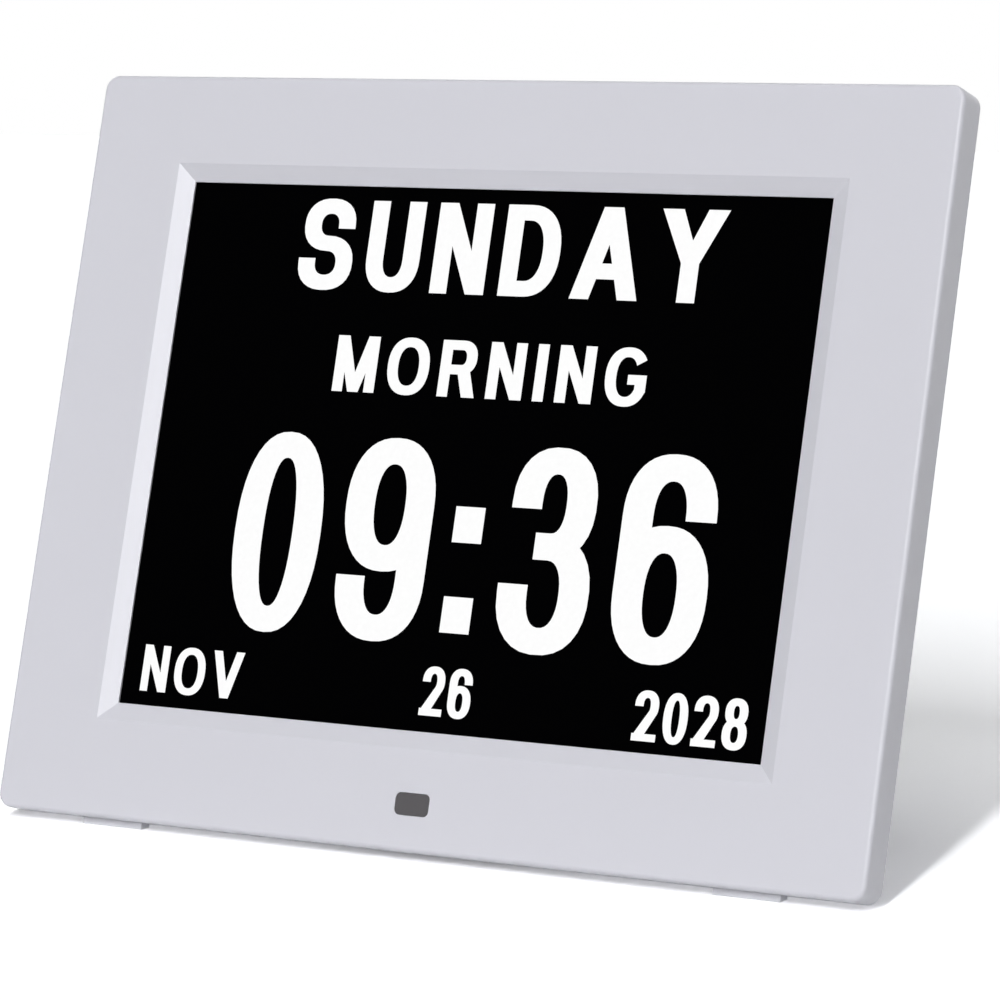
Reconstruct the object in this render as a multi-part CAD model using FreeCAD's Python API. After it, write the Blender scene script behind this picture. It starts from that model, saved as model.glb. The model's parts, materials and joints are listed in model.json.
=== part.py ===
import FreeCAD, Part
import math
import os

os.makedirs("parts", exist_ok=True)

# Desk day clock with an 8 inch screen, leaning back on a fold-out leg.
# Sizes are in millimetres. The case is drawn upright: X to the right as the reader sees it,
# Y from the front face to the back, Z up, with zero at the middle of the front face.
# At the end it is leant back and set down on its feet.

# ---------------------------------------------------------------- screen and the face round it
WINDOW_WIDTH = 162.0
WINDOW_HEIGHT = 121.5
FACE_SIDE = 28.0
FACE_TOP = 24.7
FACE_BOTTOM = 26.3
BEVEL_WIDTH = 4.0
BEVEL_DEPTH = 1.8

# ---------------------------------------------------------------- case
CORNER_RADIUS = 3.4
FRONT_EDGE_RADIUS = 1.0
SIDE_DEPTH = 8.8
SIDE_WALL = 2.2
FRONT_WALL = 2.4
COVER_WALL = 2.0
RIM_THICKNESS = 2.2
LEAN = 16.0
SEAT_GAP = 0.1

# ---------------------------------------------------------------- raised back
HUMP_ROOM_SIDE = 1.6
HUMP_ROOM_END = 1.95
HUMP_DRAFT = 3.0
HUMP_CORNER = 10.0
HUMP_EDGE_RADIUS = 2.5

# ---------------------------------------------------------------- screws
SCREW_RADIUS = 1.2
SCREW_CLEARANCE = 0.3
PILOT_CLEARANCE = 0.05
HEAD_RADIUS = 2.4
HEAD_HEIGHT = 1.3
WELL_MARGIN = 0.5
WELL_SPARE = 0.1
CASE_BOSS_RADIUS = 3.4
CASE_SCREW_INSET_SIDE = 9.0
CASE_SCREW_INSET_END = 6.3
SCREW_SKIN = 0.9

# ---------------------------------------------------------------- display module
MODULE_BORDER_SIDE = 10.5
MODULE_BORDER_END = 9.75
MODULE_SHEET = 0.4
MODULE_WINDOW_MARGIN = 1.7
FRAME_LIP_DEPTH = 4.0
TRAY_FLOOR = 1.0
TRAY_WALL = 2.4
TRAY_SPARE = 0.6
GLASS_THICKNESS = 1.3
FILM_THICKNESS = 0.3
FILM_MARGIN = 1.6
LIGHT_GUIDE_THICKNESS = 2.0
LAYER_GAP = 0.1
LED_COUNT = 16
LED_SIZE = 1.4
LED_BAR = 0.8
RIB_THICKNESS = 1.2
RIB_HEIGHT = 3.0
RIB_ARM = 14.0
RIB_GAP = 0.3

# ---------------------------------------------------------------- display brackets
BRACKET_SHEET = 0.8
BRACKET_END_GAP = 22.5
BRACKET_FOOT = 11.0
BRACKET_LIP = 4.0
BRACKET_HEAD_ROOM = 0.3
BRACKET_BOSS_RADIUS = 3.0
BRACKET_SCREW_INSET = 13.0
BRACKET_SCREW_OUT = 6.5

# ---------------------------------------------------------------- sensor below the screen
SENSOR_WIDTH = 8.6
SENSOR_HEIGHT = 5.0
SENSOR_CORNER = 1.2
SENSOR_FLANGE = 1.5
SENSOR_FLANGE_THICKNESS = 0.6
SENSOR_RIB_GAP = 0.8
RECEIVER_WIDTH = 5.4
RECEIVER_HEIGHT = 3.4
RECEIVER_DEPTH = 1.8
SENSOR_BOARD_WIDTH = 24.0
SENSOR_BOARD_HEIGHT = 9.0
SENSOR_BOARD_SHIFT = 5.0
SENSOR_WIRE_INSET = 4.0
SMALL_BOARD_THICKNESS = 1.0

# ---------------------------------------------------------------- buttons
BUTTON_NAMES = ("menu", "up", "down", "ok", "power")
BUTTON_PITCH = 15.0
BUTTON_ROW_DROP = 15.25
BUTTON_WIDTH = 9.6
BUTTON_HEIGHT = 5.6
BUTTON_CORNER = 1.8
BUTTON_PROUD = 1.2
BUTTON_CLEARANCE = 0.3
BUTTON_FLANGE = 1.2
BUTTON_FLANGE_THICKNESS = 1.0
BUTTON_FLANGE_GAP = 0.3
BUTTON_STEM_RADIUS = 2.0
BUTTON_EDGE = 0.5
SWITCH_SIZE = 6.0
SWITCH_HEIGHT = 3.5
PLUNGER_RADIUS = 1.7
PLUNGER_PROUD = 0.9
PLUNGER_SUNK = 1.6
PLUNGER_CLEARANCE = 0.08
SWITCH_WELL = 2.4
BUTTON_BOARD_END = 19.0
BUTTON_BOARD_HEIGHT = 12.0
BUTTON_BOARD_SCREW_INSET = 5.0

# ---------------------------------------------------------------- stand
HINGE_PIN_RADIUS = 1.5
HINGE_CLEARANCE = 0.05
HINGE_BARREL_RADIUS = 2.6
HINGE_BOSS_WIDTH = 5.0
HINGE_BOSS_HALF_HEIGHT = 4.0
LEG_OPEN_ANGLE = 30.0
LEG_TOP_WIDTH = 50.0
LEG_FOOT_WIDTH = 40.0
LEG_THICKNESS = 4.4
LEG_SKIN = 1.7
LEG_RIM = 2.6
LEG_RIB = 1.8
LEG_RIB_COUNT = 4
LEG_SIDE_GAP = 0.5
LEG_FLOOR_GAP = 0.4
LEG_BACK_GAP = 0.4
HEEL_HEIGHT = 6.5
HEEL_GAP = 0.05
CHANNEL_HEADROOM = 1.5
CHANNEL_BOARD_GAP = 0.8
FOOT_PAD_THICKNESS = 2.2
GRIP_WIDTH = 18.0
GRIP_DEPTH = 1.6

# ---------------------------------------------------------------- rubber feet of the case
FOOT_LENGTH = 16.0
FOOT_DEPTH = 3.4
FOOT_PROUD = 0.5
FOOT_SUNK = 0.6
FOOT_INSET = 29.0
FOOT_SETBACK = 0.5

# ---------------------------------------------------------------- wall keyholes
KEYHOLE_INSET = 34.0
KEYHOLE_DROP = 22.0
KEYHOLE_RADIUS = 4.25
KEYHOLE_SLOT_RADIUS = 2.2
KEYHOLE_SLOT_LENGTH = 8.5

# ---------------------------------------------------------------- speaker and vents
SPEAKER_RADIUS = 14.0
SPEAKER_DEPTH = 5.2
SPEAKER_FLANGE = 1.2
SPEAKER_SHEET = 0.6
SPEAKER_BOARD_GAP = 8.0
SPEAKER_RISE = 16.0
MAGNET_RADIUS = 8.0
MAGNET_THICKNESS = 2.4
CONE_THROAT_RADIUS = 4.0
CONE_WALL = 0.3
SPEAKER_RING_WALL = 1.4
SPEAKER_RING_HEIGHT = 3.0
SPEAKER_GAP = 0.2
GRILLE_SLOT = 1.5
GRILLE_PITCH = 3.4
GRILLE_COUNT = 7
VENT_INSET = 38.0
VENT_RISE = 23.25
VENT_LENGTH = 34.0
VENT_SLOT = 1.8
VENT_PITCH = 4.2
VENT_COUNT = 5

# ---------------------------------------------------------------- power jack
JACK_WIDTH = 9.0
JACK_LENGTH = 13.0
JACK_HEIGHT = 8.5
JACK_MOUTH_RADIUS = 3.1
JACK_PIN_RADIUS = 1.05
JACK_MOUTH_DEPTH = 9.5
JACK_RISE = 18.0
JACK_HOLE_RADIUS = 3.6
JACK_SEAT_INSET = 3.0
JACK_SEAT_SIZE = 12.0
JACK_OVERHANG = 5.0

# ---------------------------------------------------------------- main board
BOARD_HEIGHT = 76.0
BOARD_THICKNESS = 1.6
BOARD_STANDOFF = 2.2
BOARD_SCREW_INSET = 6.0
BOARD_BOSS_RADIUS = 3.0
BOARD_PILOT_DEPTH = 5.0
BOARD_BUTTON_GAP = 18.0
BOARD_RIGHT_EDGE = 7.5

# ---------------------------------------------------------------- parts on the main board
# A DROP is measured down from the board's top edge.
CELL_RADIUS = 10.0
CELL_THICKNESS = 3.2
CELL_BESIDE_CRYSTAL = 18.0
CELL_DROP = 26.0
HOLDER_WALL = 1.6
HOLDER_FLOOR = 0.8
HOLDER_NOTCH = 9.0
CELL_GAP = 0.2
PROCESSOR_SIZE = 20.0
PROCESSOR_HEIGHT = 1.6
PROCESSOR_X = 2.0
PROCESSOR_DROP = 40.0
LEAD_REACH = 1.0
LEAD_THICKNESS = 0.4
MEMORY_X = -20.0
MEMORY_DROP = 22.0
MEMORY_LENGTH = 5.2
MEMORY_WIDTH = 4.0
MEMORY_HEIGHT = 1.5
COLUMN_GAP = 5.0
COLUMN_STEP = 4.5
INDUCTOR_SIZE = 7.0
INDUCTOR_HEIGHT = 4.0
INDUCTOR_CORNER = 2.0
LARGE_CAP_RADIUS = 4.0
LARGE_CAP_HEIGHT = 8.0
SMALL_CAP_RADIUS = 2.5
SMALL_CAP_HEIGHT = 6.0
CRYSTAL_LENGTH = 11.0
CRYSTAL_WIDTH = 4.6
CRYSTAL_HEIGHT = 3.2
CRYSTAL_GAP = 3.0
CRYSTAL_DROP = 50.0
PLUG_LENGTH = 8.0
PLUG_WIDTH = 5.0
PLUG_HEIGHT = 6.0
PLUG_WALL = 0.8
PLUG_CHANNEL_GAP = 3.0
BUTTON_PLUG_X = 12.0
RIBBON_X = -16.0
RIBBON_WIDTH = 30.0
RIBBON_THICKNESS = 0.3
RIBBON_BEND = 2.0
RIBBON_PLUG_WIDTH = 34.0
RIBBON_PLUG_LENGTH = 5.0
RIBBON_PLUG_HEIGHT = 2.6
RIBBON_EXIT_RISE = 4.0
WIRE_THICKNESS = 1.0
WIRE_BAND = 3.0
WIRE_BEND = 1.4

# ---------------------------------------------------------------- derived face and module
CASE_WIDTH = WINDOW_WIDTH + 2 * FACE_SIDE
CASE_HEIGHT = WINDOW_HEIGHT + FACE_TOP + FACE_BOTTOM
WINDOW_Z = (FACE_BOTTOM - FACE_TOP) / 2
MODULE_WIDTH = WINDOW_WIDTH + 2 * MODULE_BORDER_SIDE
MODULE_HEIGHT = WINDOW_HEIGHT + 2 * MODULE_BORDER_END
MODULE_HALF_WIDTH = MODULE_WIDTH / 2
MODULE_BOTTOM = WINDOW_Z - MODULE_HEIGHT / 2
TRAY_WIDTH = MODULE_WIDTH - 2 * (MODULE_SHEET + LAYER_GAP)
TRAY_HEIGHT = MODULE_HEIGHT - 2 * (MODULE_SHEET + LAYER_GAP)
GLASS_WIDTH = TRAY_WIDTH - 2 * (TRAY_WALL + LAYER_GAP)
GLASS_HEIGHT = TRAY_HEIGHT - 2 * (TRAY_WALL + LAYER_GAP)
FILM_WIDTH = GLASS_WIDTH - 2 * FILM_MARGIN
FILM_HEIGHT = GLASS_HEIGHT - 2 * FILM_MARGIN
BRACKET_LENGTH = MODULE_HEIGHT - 2 * BRACKET_END_GAP
BRACKET_SCREW_PITCH = BRACKET_LENGTH - 2 * BRACKET_SCREW_INSET

# ---------------------------------------------------------------- derived levels, front to back
MODULE_FRONT = FRONT_WALL + SEAT_GAP
GLASS_FRONT = MODULE_FRONT + MODULE_SHEET + LAYER_GAP
DIFFUSER_FRONT = GLASS_FRONT + GLASS_THICKNESS + LAYER_GAP
GUIDE_FRONT = DIFFUSER_FRONT + FILM_THICKNESS + LAYER_GAP
REFLECTOR_FRONT = GUIDE_FRONT + LIGHT_GUIDE_THICKNESS + LAYER_GAP
MODULE_BACK = REFLECTOR_FRONT + FILM_THICKNESS + TRAY_SPARE + TRAY_FLOOR
BOARD_FRONT = MODULE_BACK + BOARD_STANDOFF
BOARD_BACK = BOARD_FRONT + BOARD_THICKNESS
CHANNEL_FLOOR = BOARD_BACK + RIBBON_PLUG_HEIGHT + CHANNEL_BOARD_GAP + COVER_WALL
HINGE_Y = CHANNEL_FLOOR + LEG_FLOOR_GAP + HINGE_BARREL_RADIUS
BACK_DEPTH = HINGE_Y + HINGE_BARREL_RADIUS + LEG_BACK_GAP
COVER_INNER = BACK_DEPTH - COVER_WALL
RIM_FRONT = SIDE_DEPTH - RIM_THICKNESS
BRACKET_BOSS_TOP = RIM_FRONT - BRACKET_HEAD_ROOM - HEAD_HEIGHT - BRACKET_SHEET
WELL_RADIUS = HEAD_RADIUS + WELL_MARGIN
WELL_FLOOR = SIDE_DEPTH - HEAD_HEIGHT - WELL_SPARE
BUTTON_FLANGE_BACK = COVER_INNER - BUTTON_FLANGE_GAP
BUTTON_FLANGE_FRONT = BUTTON_FLANGE_BACK - BUTTON_FLANGE_THICKNESS
PLUNGER_TIP = BUTTON_FLANGE_FRONT - PLUNGER_PROUD
SWITCH_TOP = PLUNGER_TIP - PLUNGER_PROUD
BUTTON_BOARD_BACK = SWITCH_TOP - SWITCH_HEIGHT
BUTTON_BOARD_FRONT = BUTTON_BOARD_BACK - SMALL_BOARD_THICKNESS
SENSOR_FLANGE_BACK = FRONT_WALL + SENSOR_FLANGE_THICKNESS
SENSOR_BOARD_FRONT = SENSOR_FLANGE_BACK + RECEIVER_DEPTH
SENSOR_BOARD_BACK = SENSOR_BOARD_FRONT + SMALL_BOARD_THICKNESS
SPEAKER_BACK = COVER_INNER
SPEAKER_FRONT = SPEAKER_BACK - SPEAKER_DEPTH
JACK_Y = BOARD_BACK + JACK_HEIGHT / 2

# ---------------------------------------------------------------- derived places, seen from the front
HUMP_WIDTH = MODULE_WIDTH + 2 * (SEAT_GAP + BRACKET_SHEET + HUMP_ROOM_SIDE + COVER_WALL)
HUMP_HEIGHT = MODULE_HEIGHT + 2 * (abs(WINDOW_Z) + HUMP_ROOM_END + COVER_WALL)
SENSOR_Z = MODULE_BOTTOM - RIB_GAP - RIB_THICKNESS - SENSOR_RIB_GAP - SENSOR_FLANGE - SENSOR_HEIGHT / 2
SENSOR_WIRE_X = SENSOR_BOARD_SHIFT + SENSOR_BOARD_WIDTH / 2 - SENSOR_WIRE_INSET
BUTTON_ROW_Z = HUMP_HEIGHT / 2 - BUTTON_ROW_DROP
BUTTON_BOARD_WIDTH = (len(BUTTON_NAMES) - 1) * BUTTON_PITCH + 2 * BUTTON_BOARD_END
KEYHOLE_X = HUMP_WIDTH / 2 - KEYHOLE_INSET
KEYHOLE_Z = BUTTON_ROW_Z - KEYHOLE_DROP
CHANNEL_HALF = LEG_TOP_WIDTH / 2 + LEG_SIDE_GAP
COLUMN_X = CHANNEL_HALF + COVER_WALL + COLUMN_GAP + LARGE_CAP_RADIUS
CRYSTAL_X = -(CHANNEL_HALF + COVER_WALL + CRYSTAL_GAP + CRYSTAL_LENGTH / 2)
CELL_X = CRYSTAL_X - CELL_BESIDE_CRYSTAL
BOARD_RIGHT = COLUMN_X + BOARD_RIGHT_EDGE
BOARD_TOP = BUTTON_ROW_Z - BUTTON_BOARD_HEIGHT / 2 - BOARD_BUTTON_GAP
BOARD_BOTTOM = BOARD_TOP - BOARD_HEIGHT
JACK_SEAT_X = -(HUMP_WIDTH / 2 - JACK_SEAT_INSET)
JACK_FACE_X = JACK_SEAT_X + COVER_WALL
JACK_Z = BOARD_BOTTOM + JACK_RISE
BOARD_LEFT = JACK_FACE_X + JACK_OVERHANG
SPEAKER_X = BOARD_RIGHT + SPEAKER_BOARD_GAP + SPEAKER_RADIUS
SPEAKER_Z = BOARD_BOTTOM + SPEAKER_RISE
INDUCTOR_Z = SPEAKER_Z + PLUG_LENGTH / 2 + COLUMN_STEP + INDUCTOR_SIZE / 2
LARGE_CAP_Z = INDUCTOR_Z + INDUCTOR_SIZE / 2 + COLUMN_STEP + LARGE_CAP_RADIUS
SMALL_CAP_Z = LARGE_CAP_Z + LARGE_CAP_RADIUS + COLUMN_STEP + SMALL_CAP_RADIUS
VENT_X = -(HUMP_WIDTH / 2 - VENT_INSET)
VENT_Z = VENT_RISE - HUMP_HEIGHT / 2
CHANNEL_TOP = BOARD_TOP - PLUG_WIDTH - PLUG_CHANNEL_GAP - COVER_WALL
HINGE_Z = CHANNEL_TOP - CHANNEL_HEADROOM - HEEL_HEIGHT
FOOT_SPREAD = CASE_WIDTH / 2 - FOOT_INSET

# ---------------------------------------------------------------- where the table lies
LEAN_SIN = math.sin(math.radians(LEAN))
LEAN_COS = math.cos(math.radians(LEAN))
TABLE_LEVEL = -CASE_HEIGHT / 2 * LEAN_COS - SIDE_DEPTH * LEAN_SIN - FOOT_PROUD
HINGE_ABOVE_TABLE = HINGE_Z * LEAN_COS - HINGE_Y * LEAN_SIN - TABLE_LEVEL
LEG_REACH = HINGE_ABOVE_TABLE / math.cos(math.radians(LEG_OPEN_ANGLE - LEAN))

# ---------------------------------------------------------------- drawing limits
ROOMY = 4 * CASE_WIDTH
THROUGH = 1.0
TOUCHING = 1e-4
PEG_FLATS = 12
ROUND_FLATS = 24


# ================================================================ drawing helpers
def point(x, y, z):
    return FreeCAD.Vector(x, y, z)


TO_BACK = point(0, 1, 0)
TO_RIGHT = point(1, 0, 0)
UPWARD = point(0, 0, 1)


def slab(x, y, z):
    """A plain block between the low and high limits in x, y and z."""
    corner = point(x[0], y[0], z[0])
    return Part.makeBox(x[1] - x[0], y[1] - y[0], z[1] - z[0], corner)


def plate(width, height, y, x=0.0, z=0.0):
    """A block of the given front size, centred on x and z, between two depths."""
    across = (x - width / 2, x + width / 2)
    upright = (z - height / 2, z + height / 2)
    return slab(across, y, upright)


def round_rect(width, height, radius, depth, x=0.0, z=0.0):
    """A closed outline with round corners that faces the front."""
    out_x = width / 2 - radius
    out_z = height / 2 - radius
    centres = ((out_x, out_z), (-out_x, out_z), (-out_x, -out_z), (out_x, -out_z))
    ends = []
    edges = []
    for quarter, (corner_x, corner_z) in enumerate(centres):
        spots = []
        for turn in (0, 45, 90):
            angle = math.radians(90 * quarter + turn)
            spot_x = x + corner_x + radius * math.cos(angle)
            spot_z = z + corner_z + radius * math.sin(angle)
            spots.append(point(spot_x, depth, spot_z))
        edges.append(Part.Arc(*spots).toShape())
        ends.append((spots[0], spots[-1]))
    for quarter in range(4):
        start = ends[quarter][1]
        finish = ends[(quarter + 1) % 4][0]
        edges.append(Part.makeLine(start, finish))
    return Part.Wire(Part.__sortEdges__(edges))


def round_plate(width, height, radius, y, x=0.0, z=0.0):
    """A round-cornered slab between two depths."""
    outline = round_rect(width, height, radius, y[0], x, z)
    return Part.Face(outline).extrude(point(0, y[1] - y[0], 0))


def frustum(front_size, back_size, y, z=0.0):
    """A block whose flat sides close in evenly from the front size to the back size."""
    front_x, front_z = front_size[0] / 2, front_size[1] / 2
    back_x, back_z = back_size[0] / 2, back_size[1] / 2
    return Part.makeWedge(-front_x, y[0], z - front_z, z - back_z, -back_x,
                          front_x, y[1], z + front_z, z + back_z, back_x)


def rod(radius, y, x, z):
    """A round rod that runs from front to back."""
    return Part.makeCylinder(radius, y[1] - y[0], point(x, y[0], z), TO_BACK)


def cross_rod(radius, x, y, z):
    """A round rod that runs from left to right."""
    return Part.makeCylinder(radius, x[1] - x[0], point(x[0], y, z), TO_RIGHT)


def drawn_plate(corners, y):
    """A flat plate with straight edges, given by its corners as seen from the front."""
    spots = [point(x, y[0], z) for x, z in corners]
    outline = Part.makePolygon(spots + spots[:1])
    return Part.Face(outline).extrude(point(0, y[1] - y[0], 0))


def flat_ring(radius, x, z, flats):
    """The corners of a regular outline that stands in for a circle."""
    turns = [2 * math.pi * flat / flats for flat in range(flats)]
    return [(x + radius * math.cos(turn), z + radius * math.sin(turn)) for turn in turns]


def peg(radius, y, x, z, flats=PEG_FLATS):
    """A small round feature drawn with flats, for the many screws, bosses and pilot holes."""
    return drawn_plate(flat_ring(radius, x, z, flats), y)


def disc(radius, y, x, z):
    """A larger round feature inside the case, drawn with finer flats."""
    return peg(radius, y, x, z, ROUND_FLATS)


def joined(shapes):
    """One solid made of shapes that meet."""
    first, rest = shapes[0], shapes[1:]
    return first.fuse(rest).removeSplitter() if rest else first


def edges_at_depth(shape, depth):
    """The edges that lie wholly at one depth."""
    return [edge for edge in shape.Edges if abs(edge.BoundBox.YMin - depth) < TOUCHING
            and abs(edge.BoundBox.YMax - depth) < TOUCHING]


def strip(route, bend, across, thickness, band):
    """A flat strip that follows straight runs joined by round bends in one plane."""
    edges = []
    start = route[0]
    for here, after in zip(route[1:-1], route[2:]):
        into = (here - start).normalize()
        away = (after - here).normalize()
        enter = here - into * bend
        leave = here + away * bend
        bisector = (away - into).normalize()
        swing = into.getAngle(away)
        radius = bend / math.tan(swing / 2)
        centre = here + bisector * (radius / math.cos(swing / 2))
        middle = centre - bisector * radius
        edges.append(Part.makeLine(start, enter))
        edges.append(Part.Arc(enter, middle, leave).toShape())
        start = leave
    edges.append(Part.makeLine(start, route[-1]))
    spine = Part.Wire(edges)
    heading = (route[1] - route[0]).normalize()
    flat = across.cross(heading)
    corners = []
    for side, face in ((1, 1), (-1, 1), (-1, -1), (1, -1)):
        corners.append(route[0] + across * (side * band / 2) + flat * (face * thickness / 2))
    profile = Part.makePolygon(corners + corners[:1])
    return spine.makePipeShell([profile], True, False)


# ================================================================ case screws
def case_screw_spots():
    """One screw in each corner of the rim."""
    out_x = CASE_WIDTH / 2 - CASE_SCREW_INSET_SIDE
    out_z = CASE_HEIGHT / 2 - CASE_SCREW_INSET_END
    return [(x, z) for z in (-out_z, out_z) for x in (-out_x, out_x)]


def bracket_screw_spots(side):
    x = side * (MODULE_HALF_WIDTH + BRACKET_SCREW_OUT)
    return [(x, WINDOW_Z - BRACKET_SCREW_PITCH / 2), (x, WINDOW_Z + BRACKET_SCREW_PITCH / 2)]


def board_screw_spots():
    xs = (BOARD_LEFT + BOARD_SCREW_INSET, BOARD_RIGHT - BOARD_SCREW_INSET)
    zs = (BOARD_BOTTOM + BOARD_SCREW_INSET, BOARD_TOP - BOARD_SCREW_INSET)
    return [(x, z) for x in xs for z in zs]


def button_board_screw_spots():
    out_x = BUTTON_BOARD_WIDTH / 2 - BUTTON_BOARD_SCREW_INSET
    return [(-out_x, BUTTON_ROW_Z), (out_x, BUTTON_ROW_Z)]


def screw(x, z, seat, tip):
    """A pan-head screw whose head stands on seat and whose shank ends at tip."""
    outward = 1 if seat > tip else -1
    head = peg(HEAD_RADIUS, (seat, seat + outward * HEAD_HEIGHT), x, z)
    shank = peg(SCREW_RADIUS, (tip, seat), x, z)
    return joined([shank, head])


def make_case_screws():
    tip = SCREW_SKIN + SCREW_RADIUS
    return Part.Compound([screw(x, z, WELL_FLOOR, tip) for x, z in case_screw_spots()])


def make_bracket_screws():
    seat = BRACKET_BOSS_TOP + BRACKET_SHEET
    tip = SCREW_SKIN + SCREW_RADIUS
    spots = bracket_screw_spots(-1) + bracket_screw_spots(1)
    return Part.Compound([screw(x, z, seat, tip) for x, z in spots])


def make_board_screws():
    """Screws that go in from the display side, into bosses of the rear cover."""
    main_tip = BOARD_BACK + BOARD_PILOT_DEPTH - SCREW_RADIUS
    button_tip = BUTTON_BOARD_BACK + BOARD_PILOT_DEPTH - SCREW_RADIUS
    screws = [screw(x, z, BOARD_FRONT, main_tip) for x, z in board_screw_spots()]
    screws += [screw(x, z, BUTTON_BOARD_FRONT, button_tip) for x, z in button_board_screw_spots()]
    return Part.Compound(screws)


# ================================================================ front bezel
def bezel_shell():
    """The face plate and its side walls, with the step that takes the rear cover."""
    shell = round_plate(CASE_WIDTH, CASE_HEIGHT, CORNER_RADIUS, (0, SIDE_DEPTH))
    shell = shell.makeFillet(FRONT_EDGE_RADIUS, edges_at_depth(shell, 0))
    inner = round_plate(CASE_WIDTH - 2 * SIDE_WALL, CASE_HEIGHT - 2 * SIDE_WALL,
                        CORNER_RADIUS - SIDE_WALL, (FRONT_WALL, SIDE_DEPTH + THROUGH))
    step = round_plate(CASE_WIDTH - SIDE_WALL, CASE_HEIGHT - SIDE_WALL,
                       CORNER_RADIUS - SIDE_WALL / 2, (RIM_FRONT, SIDE_DEPTH + THROUGH))
    return shell.cut([inner, step])


def window_cut():
    """The screen opening, with its bevelled surround running down to sharp corners."""
    slope = BEVEL_WIDTH / BEVEL_DEPTH
    spread = 2 * (BEVEL_WIDTH + slope * THROUGH)
    bevel = frustum((WINDOW_WIDTH + spread, WINDOW_HEIGHT + spread), (WINDOW_WIDTH, WINDOW_HEIGHT),
                    (-THROUGH, BEVEL_DEPTH), WINDOW_Z)
    opening = plate(WINDOW_WIDTH, WINDOW_HEIGHT, (0, FRONT_WALL + THROUGH), 0, WINDOW_Z)
    return bevel.fuse(opening)


def module_ribs():
    """Four corner ribs that locate the display module on the back of the face."""
    gap = 2 * RIB_GAP
    wall = gap + 2 * RIB_THICKNESS
    depth = (FRONT_WALL, FRONT_WALL + RIB_HEIGHT)
    ring = plate(MODULE_WIDTH + wall, MODULE_HEIGHT + wall, depth, 0, WINDOW_Z)
    ring = ring.cut(plate(MODULE_WIDTH + gap, MODULE_HEIGHT + gap, depth, 0, WINDOW_Z))
    keep_out_x = plate(MODULE_WIDTH - 2 * RIB_ARM, ROOMY, depth)
    keep_out_z = plate(ROOMY, MODULE_HEIGHT - 2 * RIB_ARM, depth, 0, WINDOW_Z)
    return ring.cut([keep_out_x, keep_out_z])


def foot_pocket(side):
    """The shallow seat of one rubber foot, under the bottom wall."""
    x = side * FOOT_SPREAD
    back = SIDE_DEPTH - FOOT_SETBACK
    floor = -CASE_HEIGHT / 2 + FOOT_SUNK
    return slab((x - FOOT_LENGTH / 2, x + FOOT_LENGTH / 2), (back - FOOT_DEPTH, back), (floor - ROOMY, floor))


def make_front_bezel():
    shell = bezel_shell().cut(window_cut())
    bosses = [module_ribs()]
    pilots = []
    pilot_radius = SCREW_RADIUS + PILOT_CLEARANCE
    for x, z in case_screw_spots():
        bosses.append(peg(CASE_BOSS_RADIUS, (FRONT_WALL, RIM_FRONT), x, z))
        pilots.append(peg(pilot_radius, (SCREW_SKIN + SCREW_RADIUS / 2, RIM_FRONT), x, z))
    for x, z in bracket_screw_spots(-1) + bracket_screw_spots(1):
        bosses.append(peg(BRACKET_BOSS_RADIUS, (FRONT_WALL, BRACKET_BOSS_TOP), x, z))
        pilots.append(peg(pilot_radius, (SCREW_SKIN + SCREW_RADIUS / 2, BRACKET_BOSS_TOP), x, z))
    sensor_hole = round_plate(SENSOR_WIDTH, SENSOR_HEIGHT, SENSOR_CORNER,
                              (-THROUGH, FRONT_WALL + THROUGH), 0, SENSOR_Z)
    cuts = pilots + [sensor_hole, foot_pocket(-1), foot_pocket(1)]
    return shell.fuse(bosses).cut(cuts).removeSplitter()


def make_rubber_foot(side):
    """A foot with a level sole, so that it stands flat while the case leans back."""
    whole = foot_pocket(side)
    return level_cut(whole, 0.0)


# ================================================================ leaning and levelling
def table_block(height):
    """Everything lower than a level that lies height above the table, in the upright drawing."""
    block = Part.makeBox(ROOMY, ROOMY, ROOMY, point(-ROOMY / 2, -ROOMY / 2, TABLE_LEVEL + height - ROOMY))
    block.rotate(point(0, 0, 0), TO_RIGHT, LEAN)
    return block


def level_cut(shape, height):
    return shape.cut(table_block(height))


# ================================================================ rear cover
def hump(inset, depth, tip):
    """The raised back as a solid, shrunk by inset on every side, from depth back to tip."""
    draft_per_depth = HUMP_DRAFT / (BACK_DEPTH - SIDE_DEPTH)
    sizes = []
    for level in (depth, tip):
        shrink = 2 * (inset + draft_per_depth * (level - SIDE_DEPTH))
        sizes.append((HUMP_WIDTH - shrink, HUMP_HEIGHT - shrink))
    body = frustum(sizes[0], sizes[1], (depth, tip))
    upright_edges = [edge for edge in body.Edges if edge.BoundBox.YLength > (tip - depth) / 2]
    return body.makeFillet(HUMP_CORNER - inset, upright_edges)


def cover_shell():
    rim = round_plate(CASE_WIDTH - SIDE_WALL - 2 * SEAT_GAP, CASE_HEIGHT - SIDE_WALL - 2 * SEAT_GAP,
                      CORNER_RADIUS - SIDE_WALL / 2 - SEAT_GAP, (RIM_FRONT, SIDE_DEPTH))
    raised = hump(0.0, RIM_FRONT, BACK_DEPTH)
    raised = raised.makeFillet(HUMP_EDGE_RADIUS, edges_at_depth(raised, BACK_DEPTH))
    cavity = hump(COVER_WALL, RIM_FRONT - THROUGH, COVER_INNER)
    return raised, rim.fuse([raised]).cut(cavity)


def channel(grow, floor, back, top, bottom):
    """The straight channel that the leg folds into."""
    half = CHANNEL_HALF + grow
    return slab((-half, half), (floor, back), (bottom, top))


def hinge_blocks():
    """Two solid cheeks that carry the ends of the hinge pin."""
    z = (HINGE_Z - HINGE_BOSS_HALF_HEIGHT, HINGE_Z + HINGE_BOSS_HALF_HEIGHT)
    y = (CHANNEL_FLOOR, COVER_INNER + COVER_WALL / 2)
    outer = CHANNEL_HALF + HINGE_BOSS_WIDTH
    return [slab((-outer, -CHANNEL_HALF), y, z), slab((CHANNEL_HALF, outer), y, z)]


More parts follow.
